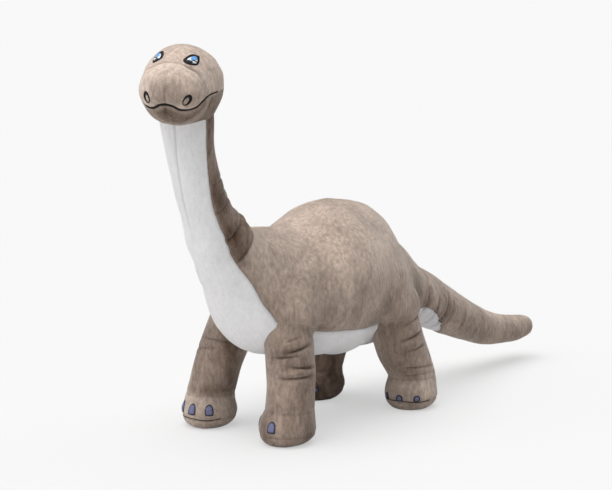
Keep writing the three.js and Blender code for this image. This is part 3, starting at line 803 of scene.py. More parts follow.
# How far a foot reaches ahead of its ankle, and how much longer than wide it is, in metres
TOE_REACH = 0.003
FOOT_LONGER = 0.0015


def outward(leg):
    return 1 if "left" in leg else -1


def leg_marks(leg):
    """Hip, ankle and the middle of the sole."""
    stance = STANCE[leg]
    out = outward(leg)
    hip = PLACE[f"{leg}_leg_swing"]
    ankle = np.array([hip[0] + stance.ahead / 1000, hip[1] + out * stance.splay / 1000, sizes().ankle_up])
    toe = math.radians(stance.toe)
    toward = np.array([math.cos(toe), out * math.sin(toe), 0])
    return hip, ankle, np.array([*(ankle + TOE_REACH * toward)[:2], 0.0])


def leg_shape(leg):
    s = sizes()
    hip, ankle, sole = leg_marks(leg)
    knee = np.array([STANCE[leg].knee / 1000, 0, 0])
    top = hip - LEFT * outward(leg) * 0.005 + knee / 2
    instep = ankle * (0.4, 0.4, 0.55) + sole * 0.6
    spine = [top, (hip + ankle) / 2 + knee, ankle, instep, sole + 0.0075 * UP, sole]
    hip_share, thigh_share = (1, 1.18) if "hind" in leg else (0.87, 1)
    girths = [
        (0.021, s.hip_radius * hip_share),
        (s.leg_radius, s.leg_radius * thigh_share),
        (s.ankle_radius, s.ankle_radius),
    ]
    for share in (1, 0.97, 0.72):
        girths.append((s.foot_radius * share, s.foot_radius * share + FOOT_LONGER))
    return Stuffed(spine, girths, s.hip_radius)


def neck_rounding(points):
    return 0.006 + 0.022 * smooth_step(-side_seam(points), -0.004, 0.012)


def tail_rounding(points):
    return np.full(len(points), 0.007)


def leg_rounding(leg):
    hip = PLACE[f"{leg}_leg_swing"]
    full = 0.036 if "left" in leg else 0.014

    def rounding(points):
        outer = smooth_step(outward(leg) * (points[:, 1] - hip[1]), -0.004, 0.014)
        return 0.0015 + full * outer * smooth_step(side_seam(points), -0.002, 0.014)

    return rounding


# Where the torso's brown is darkened, by pile lying down and by painted shade: place in the side view, reach
# in metres and how far
LAID_AND_SHADED = (
    ((0.3, 0.28), 0.04, 0.65),
    ((0.12, 0.35), 0.045, 0.6),
    ((0.1, 0.6), 0.045, 0.35),
    ((0.63, 0.4), 0.03, 0.3),
    ((0.93, 0.5), 0.02, 0.4),
    ((0.82, 0.34), 0.036, 0.5),
)


def neck_pile_and_shade(points):
    """How far the brown of the neck is darkened, by pile lying down and by painted shade, and the painted
    shade along the fold at its root.
    """
    along, _, reach = MADE["neck"][0].measure(points)
    brown = smooth_step(side_seam(points), 0, 0.002)
    there = brown * smooth_step(-reach, -0.036, -0.031)
    crease = np.exp(-(((along - 0.005) / 0.0015) ** 2))
    return there * smooth_step(along, 0.002, 0.006), there * crease


def pile_and_painted_shade(points):
    """How far the brown of the torso and the legs is darkened, by pile lying down and by painted shade."""
    # painted shade: darker towards the bottom
    amount = 0.35 * smooth_step(-points[:, 2], -0.15, -0.085)
    for place, reach, most in LAID_AND_SHADED:
        gap = np.linalg.norm((points - body_at(*place))[:, [0, 2]], axis=1)
        amount = np.maximum(amount, most * np.exp(-((gap / reach) ** 2)))
    # the shins and feet darkened as each stance gives, by pile lying down and by painted shade
    for leg in LEGS:
        hip, ankle, _ = leg_marks(leg)
        share = np.clip((hip[2] - points[:, 2]) / (hip[2] - ankle[2]), 0, 1)[:, None]
        gap = np.linalg.norm((points - hip - (ankle - hip) * share)[:, :2], axis=1)
        near = smooth_step(-gap, -0.045, -0.028) * smooth_step(-points[:, 2], -0.115, -0.075)
        stance = STANCE[leg]
        low = smooth_step(-points[:, 2], -0.036, -0.026)
        amount += (stance.shin + (stance.foot - stance.shin) * low - amount) * near
    return amount


def with_filling(body, side, node):
    """The CAD nodes a panel stands for: the left one stands for the body's filling too."""
    return (node, f"{body}_filling") if side == "left" else (node,)


class PLUSH_OT_forms(bpy.types.Operator):
    """Stuff the torso, neck, tail and legs, and run each limb into the torso"""

    bl_idname = "plush.forms"
    bl_label = "Forms"

    def execute(self, context):
        shapes = {"torso": torso_shape(), "neck": neck_shape(), "tail": tail_shape()}
        shapes.update({leg: leg_shape(leg) for leg in LEGS})
        rounding = {"neck": neck_rounding, "tail": tail_rounding, **{leg: leg_rounding(leg) for leg in LEGS}}
        things = {}
        for name, shape in shapes.items():
            points, faces = shape.mesh()
            voxel, softening, swell = LIMB_VOXEL, LIMB_SOFTENING, LIMB_SWELL
            if name == "torso":
                voxel, softening, swell = TORSO_VOXEL, TORSO_SOFTENING, TORSO_SWELL
                for more, others in (bib_shape().mesh(), nape_shape().mesh()):
                    faces += [[i + len(points) for i in face] for face in others]
                    points = np.vstack([points, more])
            thing = evened(f"{name}_form", points, faces, voxel, softening)
            rest = corners_of(thing.data)
            if name in LEGS:
                held = np.exp(-(((rest[:, 2] - sizes().ankle_up) / 0.003) ** 2)) + (rest[:, 2] < 0.004)
            else:
                held = np.exp(-((side_seam(rest) / 0.0035) ** 2))
            things[name] = filled(thing, held, swell)
        trees = {name: tree_of(thing) for name, thing in things.items()}
        moves = {}
        drawn = np.zeros((len(things["torso"].data.vertices), 3))
        for name, round_at in rounding.items():
            moves[name] = run_together(things[name], trees["torso"], round_at, False)
            move = run_together(things["torso"], trees[name], round_at, True)
            further = (move**2).sum(1) > (drawn**2).sum(1)
            drawn[further] = move[further]
        moves["torso"] = drawn
        for name, move in moves.items():
            MADE[name] = shapes[name], shifted(things[name], move)
        return {"FINISHED"}


class PLUSH_OT_torso(bpy.types.Operator):
    """Sew the torso: two brown sides and a grey chest-and-belly panel"""

    bl_idname = "plush.torso"
    bl_label = "Torso"

    def execute(self, context):
        s = sizes()
        skin = Skin(MADE["torso"][1], 1)
        brown_side = smooth_step(side_seam(skin.points), 0, 0.002)
        # pile lying down and painted shade darken the brown sides
        skin.brush(brown_side * pile_and_painted_shade(skin.points))
        # the neck's darkening carried onto the torso, and painted shade along the fold at the neck's root
        pile, crease = neck_pile_and_shade(skin.points)
        skin.brush(pile)
        skin.shade(0.7 * crease)
        # the brown darkened along the seam at the chest
        edge = np.exp(-((side_seam(skin.points) / 0.016) ** 2))
        chest = smooth_step(skin.points[:, 0], body_at(0.8, 0)[0], body_at(0.95, 0)[0])
        skin.brush(0.5 * brown_side * edge * chest)
        skin.lumps(size=0.045, height=0.0016, seed=3)
        skin.lumps(size=0.016, height=0.0006, seed=7)
        skin.renew()
        shoulder = [body_at(0.7, 0.586), body_at(0.719, 0.473), body_at(0.736, 0.334)]
        skin.valley(shoulder, depth=0.0022, width=0.008, shade=0.15)
        flank = [body_at(0.54, 0.5), body_at(0.5, 0.36), body_at(0.38, 0.22)]
        skin.valley(flank, depth=0.0016, width=0.008, shade=0.12)
        skin.renew()
        seam = side_seam(skin.points)
        middle = skin.points[:, 1] - MIDDLE
        skin.groove(seam, s.seam_depth, s.seam_width)
        back = smooth_step(seam, 0, 0.004)
        skin.groove(middle, 0.2 * s.seam_depth, s.seam_width, shade=0.0, where=back)
        skin.renew()
        skin.cut(seam=seam, middle=middle)
        for side, sign in SIDES:
            half = skin.pick(seam=1, middle=sign)
            nodes = with_filling("torso", side, f"torso_side_{side}")
            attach(skin.piece(f"torso_{side}_plush", "brown", half, *nodes), "torso")
        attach(skin.piece("belly_plush", "grey", skin.pick(seam=-1), "belly_panel"), "torso")
        return {"FINISHED"}


class PLUSH_OT_neck(bpy.types.Operator):
    """Sew the neck: brown sides and a grey throat with a seam down its middle"""

    bl_idname = "plush.neck"
    bl_label = "Neck"

    FOLDS = (
        (24, -60, 215, 0, 3.0), (13, -50, 200, 0, 2.4), (50, -40, 180, 1, 1.5),
        (61, 0, 170, -1, 0.9), (73, -30, 175, 0, 1.0),
    )

    def execute(self, context):
        s = sizes()
        form, thing = MADE["neck"]
        skin = Skin(thing, 2)
        along, turn, _ = form.measure(skin.points)
        # pile lying down and painted shade darken the neck's brown, with painted shade along the fold at its
        # root
        pile, crease = neck_pile_and_shade(skin.points)
        skin.brush(pile)
        skin.shade(0.7 * crease)
        skin.folds(along, turn, self.FOLDS, smooth_step(side_seam(skin.points), -0.001, 0.002))
        skin.lumps(size=0.02, height=0.0006, seed=11)
        skin.renew()
        seam = side_seam(skin.points)
        middle = skin.points[:, 1] - MIDDLE
        skin.groove(seam, s.seam_depth, s.seam_width)
        twist = math.radians(20) * smooth_step(along, 0.03, 0.13)
        middle = middle * np.cos(twist) - (skin.points[:, 0] - NECK_ROOT[0] - s.neck_reach) * np.sin(twist)
        fade = smooth_step(along, 0.03, 0.06)
        skin.groove(middle, 0.8 * s.seam_depth, 0.8 * s.seam_width, shade=0.55, where=fade)
        skin.renew()
        skin.cut(seam=seam, middle=middle)
        for side, sign in SIDES:
            back = skin.pick(seam=1, middle=sign)
            nodes = with_filling("neck", side, f"neck_side_{side}")
            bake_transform(skin.piece(f"neck_{side}_plush", "brown", back, *nodes))
            front = skin.pick(seam=-1, middle=sign)
            throat = skin.piece(f"throat_{side}_plush", "grey", front, f"throat_{side}")
            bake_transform(throat)
        return {"FINISHED"}


class PLUSH_OT_tail(bpy.types.Operator):
    """Sew the tail: brown sides and a grey wedge under its root"""

    bl_idname = "plush.tail"
    bl_label = "Tail"

    FOLDS = (
        (18, -70, 75, 3, 1.9), (40, -20, 80, 2, 1.7), (57, -45, 90, 3, 2.2), (66, -35, 65, 2, 1.4),
        (28, 120, 250, 2, 1.6), (52, 110, 215, -2, 1.6), (90, -30, 60, 1, 0.6),
    )

    def execute(self, context):
        s = sizes()
        form, thing = MADE["tail"]
        skin = Skin(thing, 1)
        # the whole tail's brown darkened evenly
        skin.brush(np.full(len(skin.points), 0.4))
        along, turn, _ = form.measure(skin.points)
        skin.folds(along, turn, self.FOLDS)
        skin.lumps(size=0.022, height=0.0007, seed=17)
        skin.renew()
        seam = side_seam(skin.points)
        middle = skin.points[:, 1] - MIDDLE
        skin.groove(seam, s.seam_depth, s.seam_width)
        back = smooth_step(seam, 0, 0.004)
        skin.groove(middle, 0.3 * s.seam_depth, s.seam_width, shade=0.05, where=back)
        skin.renew()
        skin.cut(seam=seam, middle=middle)
        wedge = skin.piece("tail_under_plush", "grey", skin.pick(seam=-1), "tail_underside")
        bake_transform(wedge)
        for side, sign in SIDES:
            half = skin.pick(seam=1, middle=sign)
            nodes = with_filling("tail", side, f"tail_side_{side}")
            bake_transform(skin.piece(f"tail_{side}_plush", "brown", half, *nodes))
        return {"FINISHED"}


class PLUSH_OT_legs(bpy.types.Operator):
    """Sew the legs: outer and inner panel, foot and sole, drawn out to the torso at the hip"""

    bl_idname = "plush.legs"
    bl_label = "Legs"

    FOLDS = {
        "front_left": (
            (84.5, -20, 68, -3.5, 2.3), (78.5, 20, 92, -1.5, 1.8), (69, -26, 56, 1.8, 2.1),
            (61, -24, 88, -1, 1.8), (93, 10, 60, -2.5, 0.9),
        ),
        "front_right": ((82, 20, 130, 2, 1.2), (73, 60, 150, -2, 0.9)),
        "hind_left": (
            (86, -50, 35, -4, 1.1), (72, -45, 50, -4, 1.7), (61, -45, 40, -3, 1.2), (42, -40, 70, 1, 1.0),
            (35, -10, 80, -1, 0.7),
        ),
        "hind_right": ((80, 60, 170, 1, 1.4), (64, 70, 150, -1, 1.0)),
    }

    def execute(self, context):
        MADE["feet"] = {}
        for leg in LEGS:
            self.sew(leg)
        return {"FINISHED"}

    def sew(self, leg):
        s = sizes()
        out = outward(leg)
        hip, ankle, sole = leg_marks(leg)
        form, thing = MADE[leg]
        skin = Skin(thing, 2 if "left" in leg else 1)
        # pile lying down and painted shade darken the legs, most on the shins and feet
        skin.brush(pile_and_painted_shade(skin.points))
        turn = form.measure(skin.points)[1]
        skin.folds(skin.points[:, 2].copy(), turn, self.FOLDS[leg])
        skin.lumps(size=0.02, height=0.0006, seed=23 + LEGS.index(leg))
        skin.renew()
        height = skin.points[:, 2]
        axis = unit(ankle - hip)
        across = unit(LEFT * out - axis * (LEFT * out @ axis))
        split = (skin.points - hip) @ across
        below = smooth_step(s.belly_clearance + 0.03 - height, 0, 0.01)
        shin = below * (height > s.ankle_up)
        skin.groove(height - s.ankle_up, 0.4 * s.seam_depth, s.seam_width, shade=0.2)
        skin.groove(height - s.sole_up, 0.5 * s.seam_depth, s.seam_width, shade=0.3)
        skin.groove(split, 0.5 * s.seam_depth, s.seam_width, shade=0.15, where=shin)
        skin.renew()
        skin.points[:, 2] = np.maximum(skin.points[:, 2], SOLE_LIFT)
        MADE["feet"][leg] = skin.tree(), sole
        skin.cut(ankle=height - s.ankle_up, sole=height - s.sole_up, split=split)
        body = f"{leg}_leg"
        outer = skin.pick(ankle=1, split=1)
        inner = skin.pick(ankle=1, split=-1)
        for panel in (
            skin.piece(f"{leg}_outer_plush", "brown", outer, f"{leg}_leg_outer", f"{leg}_filling"),
            skin.piece(f"{leg}_inner_plush", "brown", inner, f"{leg}_leg_inner"),
        ):
            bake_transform(panel)
        for part, faces in (("foot", skin.pick(ankle=-1, sole=1)), ("sole", skin.pick(sole=-1))):
            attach(skin.piece(f"{leg}_{part}_plush", "brown", faces, f"{leg}_{part}"), body)


# The head: lobes blown together, in its own frame and then turned; how sharply the lobes meet
HEAD_YAW, HEAD_ROLL = math.radians(30), math.radians(3)
LOBE_CREASE = 20


def head_turned(points):
    """From the head's own frame to the toy's."""
    c, s = math.cos(HEAD_ROLL), math.sin(HEAD_ROLL)
    roll = np.array([[1, 0, 0], [0, c, s], [0, -s, c]])
    c, s = math.cos(HEAD_YAW), math.sin(HEAD_YAW)
    yaw = np.array([[c, -s, 0], [s, c, 0], [0, 0, 1]])
    return points @ (yaw @ roll).T + HEAD


def head_heart():
    s = sizes()
    return np.array([s.muzzle_length / 6, 0, -s.muzzle_drop / 2])


def head_reach(ways):
    """How far the head reaches from its heart along each way."""
    s = sizes()
    half = s.muzzle_length * 0.58
    lobes = (
        (np.array([0, 0, -s.cranium_drop]), np.full(3, s.cranium_radius)),
        (np.array([s.muzzle_length - half, 0, -s.muzzle_drop]),
         np.array([half, s.muzzle_width / 2, s.muzzle_height / 2])),
    )
    total = 0
    for centre, size in lobes:
        start, step = (head_heart() - centre) / size, ways / size
        cross, square = step @ start, (step**2).sum(1)
        reach = (-cross + np.sqrt(cross**2 - square * (start @ start - 1))) / square
        total = total + (reach * 1000) ** LOBE_CREASE
    return total ** (1 / LOBE_CREASE) / 1000


def way_of(turn, rise):
    """A direction from the head's heart by its turn to the left and its rise, in degrees."""
    turn, rise = np.radians(turn), np.radians(rise)
    return np.stack([np.cos(rise) * np.cos(turn), np.cos(rise) * np.sin(turn), np.sin(rise)], -1)


def face_chart(ways):
    """The face spread flat about the nose, in degrees."""
    away = np.degrees(np.arccos(np.clip(ways[:, 0], -1, 1)))
    across = np.linalg.norm(ways[:, 1:], axis=1)
    return ways[:, 1:] / np.maximum(across, 1e-9)[:, None] * away[:, None]


MOUTH = ((0, -16.8), (8, -18), (17, -22.8), (29, -24), (40, -21.5), (49, -14.5), (65, -8.3), (87, -4.6))
BROW = ((0, 38), (15, 37.5), (25, 33.5), (40.5, 25.6), (48, 12.8), (53, 0.8), (57, -11))


def both_sides(marks, steps=60):
    """Marks of the left half of the face as a smooth line from its right to its left."""
    marks = np.array(marks, float)
    whole = np.vstack([marks[:0:-1] * (-1, 1), marks])
    return through(whole, np.linspace(0, 1, steps))


def all_round(count):
    """Directions all round and four-sided faces between them, from the sides of a cube."""
    ticks = np.tan(np.linspace(-1, 1, count + 1) * math.pi / 4)
    places, quads = {}, []
    for axis in range(3):
        for sign in (1, -1):
            grid = np.zeros((count + 1, count + 1), int)
            for i, a in enumerate(ticks):
                for j, b in enumerate(ticks):
                    at = np.roll((sign, a, b * sign), axis)
                    grid[i, j] = places.setdefault(tuple(np.round(at, 6)), len(places))
            corners = (grid[:-1, :-1], grid[1:, :-1], grid[1:, 1:], grid[:-1, 1:])
            quads += list(zip(*(corner.ravel() for corner in corners)))
    return unit(np.array(list(places))), quads


class PLUSH_OT_head(bpy.types.Operator):
    """Sew the head: crown, muzzle and jaw, each in a left and a right half"""

    bl_idname = "plush.head"
    bl_label = "Head"

    def seams(self, ways):
        """Distance into the muzzle from the brow seam, and above the mouth."""
        chart = face_chart(ways)
        scale = math.pi / 180 * head_reach(ways)
        brow = -beside(chart, face_chart(way_of(*both_sides(BROW).T))) * scale
        return brow, beside(chart, face_chart(way_of(*both_sides(MOUTH).T))) * scale

    def execute(self, context):
        s = sizes()
        ways, quads = all_round(HEAD_GRID)
        heart = head_heart()
        thing = loose_object("head_form", heart + ways * head_reach(ways)[:, None], quads)
        brow, mouth = self.seams(ways)
        sewn = np.exp(-((brow / 0.003) ** 2)) + np.exp(-((mouth / 0.003) ** 2))
        skin = Skin(filled(thing, np.minimum(sewn, 1), HEAD_SWELL), 1)
        skin.lumps(size=0.02, height=0.0006, seed=41)
        skin.lumps(size=0.009, height=0.0003, seed=43)
        skin.renew()
        ways = unit(skin.points - heart)
        brow, mouth = self.seams(ways)
        middle = skin.points[:, 1].copy()
        front = smooth_step(ways[:, 0], 0.2, 0.5)
        turn = np.degrees(np.abs(np.arctan2(ways[:, 1], ways[:, 0])))
        rise = np.degrees(np.arcsin(ways[:, 2]))
        skin.press(-0.0012 * smooth_step(brow, 0, 0.012) * smooth_step(mouth, -0.002, 0.01))
        skin.press(-0.002 * smooth_step(-rise, 22, 50))
        # painted shade on the jaw under the mouth
        skin.brush(smooth_step(-mouth, 0, 0.006))
        muzzle = smooth_step(brow, -0.002, 0.004) * smooth_step(mouth, 0, 0.004)
        upper = np.maximum(smooth_step(mouth, 0.012, 0.026), smooth_step(-ways[:, 1], 0.1, 0.45))
        # painted light on the upper muzzle, on its right side and on the head above the mouth; painted shade
        # on the lower muzzle
        skin.lift(muzzle * (0.7 * upper - 0.15) + 0.2 * (1 - muzzle) * smooth_step(mouth, 0, 0.004))
        deep, wide = s.seam_depth, s.seam_width
        # the brow groove is deeper, and its painted shade darker, round 32 degrees of turn
        fold = 0.35 + 0.65 * np.exp(-(((turn - 32) / 11) ** 2))
        skin.groove(brow, 1.6 * deep, wide, shade=0.9, where=fold * smooth_step(mouth, -0.003, 0.001))
        skin.groove(mouth, 1.4 * deep, 1.3 * wide, shade=0.5, where=front)
        centre = np.where(mouth > 0, smooth_step(brow, 0.006, 0.014) * front, front)
        skin.groove(middle, 0.7 * deep, 0.8 * wide, shade=0.35, where=centre)
        dart = (turn - 73) * math.pi / 180 * head_reach(ways)
        skin.groove(dart, 0.8 * deep, 0.8 * wide, shade=0.5, where=np.exp(-(((rise + 24) / 7) ** 2)))
        skin.data["point"] = head_turned(skin.points)
        skin.renew()
        MADE["head"] = skin.tree()
        skin.cut(mouth=mouth, brow=brow, middle=middle)
        parts = {"crown": {"mouth": 1, "brow": -1}, "muzzle": {"mouth": 1, "brow": 1}, "jaw": {"mouth": -1}}
        for side, sign in SIDES:
            for part, signs in parts.items():
                nodes = (f"{part}_{side}",)
                if part == "crown":
                    nodes = with_filling("head", side, *nodes)
                faces = skin.pick(middle=sign, **signs)
                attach(skin.piece(f"{part}_{side}_plush", "brown", faces, *nodes), "head")
        return {"FINISHED"}


# Embroidery
def onto(tree, start, way):
    """Where a line meets a cover, and the cover's normal there."""
    at, normal, _, _ = tree.ray_cast(Vector(start), Vector(way))
    if at is None:
        raise RuntimeError("the embroidery misses the cover")
    return np.array(at), np.array(normal)


def on_head(turn, rise):
    """The head's cover by turn and rise from its heart, in degrees."""
    heart = head_turned(head_heart()[None])[0]
    way = unit(head_turned((head_heart() + way_of(turn, rise))[None])[0] - heart)
    return onto(MADE["head"], heart + way * 0.2, -way)


def on_face(turn, rise):
    """A flat patch of the head round a place: across and up in mm to a place on the cover."""
    scale = 180 / math.pi / (1000 * head_reach(way_of(turn, rise)[None])[0])

    def place(across, up):
        return on_head(turn + across * scale / math.cos(math.radians(rise)), rise + up * scale)

    return place


def on_foot(leg):
    """A foot's cover by turn from its toes to the outside in degrees and height in mm."""
    tree, sole = MADE["feet"][leg]

    def place(turn, height):
        bearing = math.radians(STANCE[leg].toe + turn)
        way = np.array([math.cos(bearing), outward(leg) * math.sin(bearing), 0])
        return onto(tree, sole + UP * height / 1000 + way * 0.1, -way)

    return place


def on_toe(leg, turn, height):
    """A flat patch of a foot round a toe: across and up in mm to a place on the cover."""
    foot = on_foot(leg)
    scale = math.degrees(1 / (1000 * sizes().foot_radius))

    def place(across, up):
        return foot(turn + across * scale, height + up)

    return place


def stitched(name, parts):
    """One embroidered piece from lists of points, faces and finishes."""
    points, faces, kinds, used = [], [], [], []
    for at, shape, finish in parts:
        if finish not in used:
            used.append(finish)
        faces += [[i + len(points) for i in f] for f in shape]
        kinds += [used.index(finish)] * len(shape)
        points += list(at)
    thing = loose_object(name, points, faces)
    for finish in used:
        thing.data.materials.append(finish)
    thing.data.polygons.foreach_set("material_index", kinds)
    thing.data.polygons.foreach_set("use_smooth", [True] * len(kinds))
    return thing


def patch(place, outline, rise, finish):
    """A low pad of satin stitch inside an outline, on a cover."""
    outline = np.array(outline)
    middle = outline.mean(0)
    points, faces, count = [], [], len(outline)
    rows = ((1.0, -0.0006), (1.0, 0.45 * rise), (0.86, 0.85 * rise), (0.55, rise), (0.25, rise))
    for share, lift in rows:
        for a, b in middle + (outline - middle) * share:
            at, normal = place(a, b)
            points.append(at + normal * lift)
    for (a, b), lift in ((middle, -0.0006), (middle, rise)):
        at, normal = place(a, b)
        points.append(at + normal * lift)
    top = (len(rows) - 1) * count
    for i in range(count):
        j = (i + 1) % count
        faces.append((len(points) - 2, j, i))
        for row in range(0, top, count):
            faces.append((row + i, row + j, row + count + j, row + count + i))
        faces.append((top + i, top + j, len(points) - 1))
    return points, faces, finish


def turned_over(part):
    """A part of embroidery with its faces the other way round, for a mirrored outline."""
    points, faces, finish = part
    return points, [list(reversed(face)) for face in faces], finish


def ribbon(places, widths, rise, finish, loop=False):
    """A raised line of satin stitch along places on a cover."""
    at = np.array([p for p, _ in places])
    up = unit(np.array([n for _, n in places]))
    if loop:
        along = unit(np.roll(at, -1, 0) - np.roll(at, 1, 0))
    else:
        along = unit(np.gradient(at, axis=0))
    side = unit(np.cross(up, along))
    sides = 8
    angles = np.arange(sides) * 2 * math.pi / sides
    points = []
    for p, n, r, w in zip(at, up, side, widths):
        points += [p + n * rise * 0.2 + (w * math.cos(t) / 2) * r + (rise * math.sin(t)) * n for t in angles]
    faces, count = [], len(at)
    for k in range(count if loop else count - 1):
        row, after = k * sides, (k + 1) % count * sides
        for i in range(sides):
            j = (i + 1) % sides
            faces.append((row + i, after + i, after + j, row + j))
    if not loop:
        faces.append(list(range(sides)))
        faces.append([(count - 1) * sides + i for i in reversed(range(sides))])
    return points, faces, finish


def oval(across, up, wide, high, tilt=0.0, count=28):
    angles = np.arange(count) * 2 * math.pi / count
    a, b = wide * np.cos(angles), high * np.sin(angles)
    c, s = math.cos(math.radians(tilt)), math.sin(math.radians(tilt))
    return np.stack([across + a * c - b * s, up + a * s + b * c], 1)


class PLUSH_OT_face(bpy.types.Operator):
    """Embroider the eyes, the nostrils and the mouth"""

    bl_idname = "plush.face"
    bl_label = "Face"

    def execute(self, context):
        f = finishes()
        for side, sign in SIDES:
            face = on_face(44 if sign > 0 else -60, 49.5)
            mirror = np.array([[sign, 0], [0.42 * sign, 1]])
            lid = oval(-0.4, 0, 7.2, 6.6, count=36)
            lid[:8] += np.outer(np.array([0.2, 0.8, 1.6, 1.2, 0.6, 0.4, 0.2, 0.1]), (1.0, 0.2))
            parts = [
                patch(face, lid @ mirror, 0.0005, f["dark"]),
                patch(face, oval(0, -0.2, 5.1, 4.2) @ mirror, 0.0007, f["white"]),
                patch(face, oval(1.3, 1.3, 3.6, 2.6) @ mirror, 0.0009, f["iris"]),
                patch(face, oval(-2.2, -2.6, 3.0, 1.7, -14) @ mirror, 0.0009, f["pupil"]),
                patch(face, oval(1.5, -1.3, 2.9, 0.7, -16) @ mirror, 0.001, f["pupil"]),
                patch(face, oval(1.6, -2.9, 2.0, 1.1, -18) @ mirror, 0.0011, f["white"]),
            ]
            if sign < 0:
                parts = [turned_over(part) for part in parts]
            eye = stitched(f"eye_{side}_stitching", parts)
            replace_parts(eye, f"eye_{side}")
            face = on_face(23.6 if sign > 0 else -22, -10.3)
            loop = oval(0, 0, 2.5, 4.1, -33 if sign > 0 else -18)
            angles = np.arange(len(loop)) * 2 * math.pi / len(loop)
            widths = 0.0018 + 0.0011 * np.cos(angles - 1.1)
            loop = loop * (sign, 1)
            ring = ribbon([face(*p) for p in loop], widths, 0.0006, f["dark"], loop=True)
            nostril = stitched(f"nostril_{side}_stitching", [ring])
            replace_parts(nostril, f"nostril_{side}")
            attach(eye, "head")
            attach(nostril, "head")
        line = both_sides(MOUTH, 90)
        widths = 0.0024 * (1 - 0.6 * np.abs(line[:, 0]) / 87)
        mouth = stitched("mouth_stitching", [ribbon([on_head(*p) for p in line], widths, 0.0007, f["dark"])])
        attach(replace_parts(mouth, "mouth_line"), "head")
        return {"FINISHED"}


class PLUSH_OT_claws(bpy.types.Operator):
    """Embroider three claws on each foot, and the stitched line under them on the front right and hind left
    feet
    """

    bl_idname = "plush.claws"
    bl_label = "Claws"

    # Outline of a claw's outer half in mm, and the turn of each claw from the toes' way in degrees
    HALF_CLAW = ((1.2, -5.2), (3.6, -4.8), (3.9, -2.5), (3.9, 0), (3.5, 2.4), (2.5, 4.4), (0.9, 5.4))
    TOES = {
        "front_left": (-62, -24, 45),
        "front_right": (-46, -7, 30),
        "hind_left": (-38, -1, 37),
        "hind_right": (-36, 0, 36),
    }

    def execute(self, context):
        f = finishes()
        half = np.array(self.HALF_CLAW)
        shape = np.vstack([half, half[::-1] * (-1, 1)])
        for leg in LEGS:
            foot = on_foot(leg)
            body = f"{leg}_leg"
            # the dark edge thread is real; the hind claws show more of it, which paints the shade that they
            # stand in
            height, size, core = (18.5, (1, 0.95), 0.78) if "front" in leg else (13, (0.85, 0.58), 0.62)
            for toe, turn in zip(("inner", "middle", "outer"), self.TOES[leg]):
                pads = []
                toe_at = on_toe(leg, turn, height)
                for share, rise, finish in ((1, 0.0006, f["edge"]), (core, 0.0009, f["claw"])):
                    pads.append(patch(toe_at, shape * size * share, rise, finish))
                if "right" in leg:
                    pads = [turned_over(pad) for pad in pads]
                claw = stitched(f"{leg}_{toe}_claw_stitching", pads)
                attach(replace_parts(claw, f"{leg}_claw_{toe}"), body)
            if leg not in ("front_right", "hind_left"):
                continue
            turns = np.linspace(-72, 72, 61)
            heights = 9.2 + 1.3 * np.abs(np.sin(np.radians(turns + 42) * 180 / 84)) ** 2
            places = [foot(turn, height) for turn, height in zip(turns, heights)]
            line = ribbon(places, np.full(len(turns), 0.0008), 0.0003, f["dark"])
            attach(stitched(f"{leg}_toe_line_stitching", [line]), body)
        return {"FINISHED"}


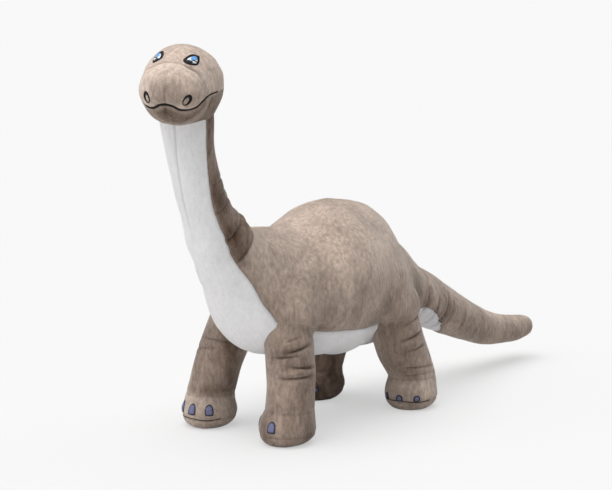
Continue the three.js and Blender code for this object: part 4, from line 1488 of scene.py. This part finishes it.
class PLUSH_OT_stage(bpy.types.Operator):
    """Set the floor, the light and the camera"""

    bl_idname = "plush.stage"
    bl_label = "Stage"

    def execute(self, context):
        scene, stage = context.scene, context.scene.plush_stage
        corners = [(x * FLOOR_HALF, y * FLOOR_HALF, 0) for x, y in ((-1, -1), (1, -1), (1, 1), (-1, 1))]
        floor = loose_object("floor", corners, [(0, 1, 2, 3)])
        pale = bpy.data.materials.new("pale_floor")
        pale.use_nodes = True
        tree = pale.node_tree
        tree.nodes.clear()
        lit, glow, dull = (
            tree.nodes.new(f"ShaderNode{kind}") for kind in ("BsdfDiffuse", "Emission", "BsdfDiffuse")
        )
        lit.inputs["Color"].default_value = glow.inputs["Color"].default_value = (*colours().floor, 1)
        dull.inputs["Color"].default_value = (*(stage.bounce * c for c in colours().floor), 1)
        whole = either(tree, camera_sees(tree), dull, either(tree, stage.glow, lit, glow))
        link(tree, whole.outputs[0], tree.nodes.new("ShaderNodeOutputMaterial").inputs["Surface"])
        floor.data.materials.append(pale)

        world = bpy.data.worlds.new("studio")
        world.use_nodes = True
        tree = world.node_tree
        back = tree.nodes["Background"]
        back.inputs["Color"].default_value = (1, 1, 1, 1)
        back.inputs["Strength"].default_value = stage.sky
        seen = tree.nodes.new("ShaderNodeBackground")
        seen.inputs["Color"].default_value = (*colours().backdrop, 1)
        whole = either(tree, camera_sees(tree), back, seen)
        link(tree, whole.outputs[0], tree.nodes["World Output"].inputs["Surface"])
        scene.world = world

        for name, way in LAMP_WAYS.items():
            lamp = bpy.data.lights.new(name, "SUN")
            lamp.energy, lamp.angle = getattr(stage, name), stage.spread
            lamp_thing = bpy.data.objects.new(name, lamp)
            lamp_thing.location = Vector(way) * 2
            lamp_thing.rotation_euler = (-Vector(way)).to_track_quat("-Z", "Y").to_euler()
            scene.collection.objects.link(lamp_thing)
        around, above = stage.around, stage.above
        level = math.cos(above)
        back = Vector((math.cos(around) * level, math.sin(around) * level, math.sin(above)))
        camera = bpy.data.cameras.new("camera")
        camera.lens, camera.sensor_width = stage.lens, SENSOR_WIDTH
        camera_thing = bpy.data.objects.new("camera", camera)
        camera_thing.location = Vector(CAMERA_TARGET) + back * stage.distance
        camera_thing.rotation_euler = (-back).to_track_quat("-Z", "Y").to_euler()
        scene.collection.objects.link(camera_thing)
        scene.camera = camera_thing
        scene.view_settings.view_transform = "Standard"
        return {"FINISHED"}


class PLUSH_PT_panel(bpy.types.Panel):
    """Steps that sew the toy, in order"""

    bl_idname = "PLUSH_PT_panel"
    bl_label = "Plush Dinosaur"
    bl_space_type = "VIEW_3D"
    bl_region_type = "UI"
    bl_category = "Plush"

    def draw(self, context):
        for step in STEPS:
            self.layout.operator(step.bl_idname)
        for group in (context.scene.plush_sizes, context.scene.plush_colours, context.scene.plush_stage):
            box = self.layout.box()
            for name in group.__annotations__:
                box.prop(group, name)


STEPS = (
    PLUSH_OT_stage, PLUSH_OT_forms, PLUSH_OT_torso, PLUSH_OT_neck, PLUSH_OT_tail,
    PLUSH_OT_legs, PLUSH_OT_head, PLUSH_OT_face, PLUSH_OT_claws,
)
CLASSES = (PlushSizes, PlushColours, PlushStage, *STEPS, PLUSH_PT_panel)


def register():
    for kind in CLASSES:
        bpy.utils.register_class(kind)
    bpy.types.Scene.plush_sizes = PointerProperty(type=PlushSizes)
    bpy.types.Scene.plush_colours = PointerProperty(type=PlushColours)
    bpy.types.Scene.plush_stage = PointerProperty(type=PlushStage)


def unregister():
    del bpy.types.Scene.plush_stage, bpy.types.Scene.plush_colours, bpy.types.Scene.plush_sizes
    for kind in reversed(CLASSES):
        bpy.utils.unregister_class(kind)


def main():
    register()
    bpy.ops.plush.stage()
    bpy.ops.plush.forms()
    bpy.ops.plush.torso()
    bpy.ops.plush.neck()
    bpy.ops.plush.tail()
    bpy.ops.plush.legs()
    bpy.ops.plush.head()
    bpy.ops.plush.face()
    bpy.ops.plush.claws()


if __name__ == "__main__":
    main()
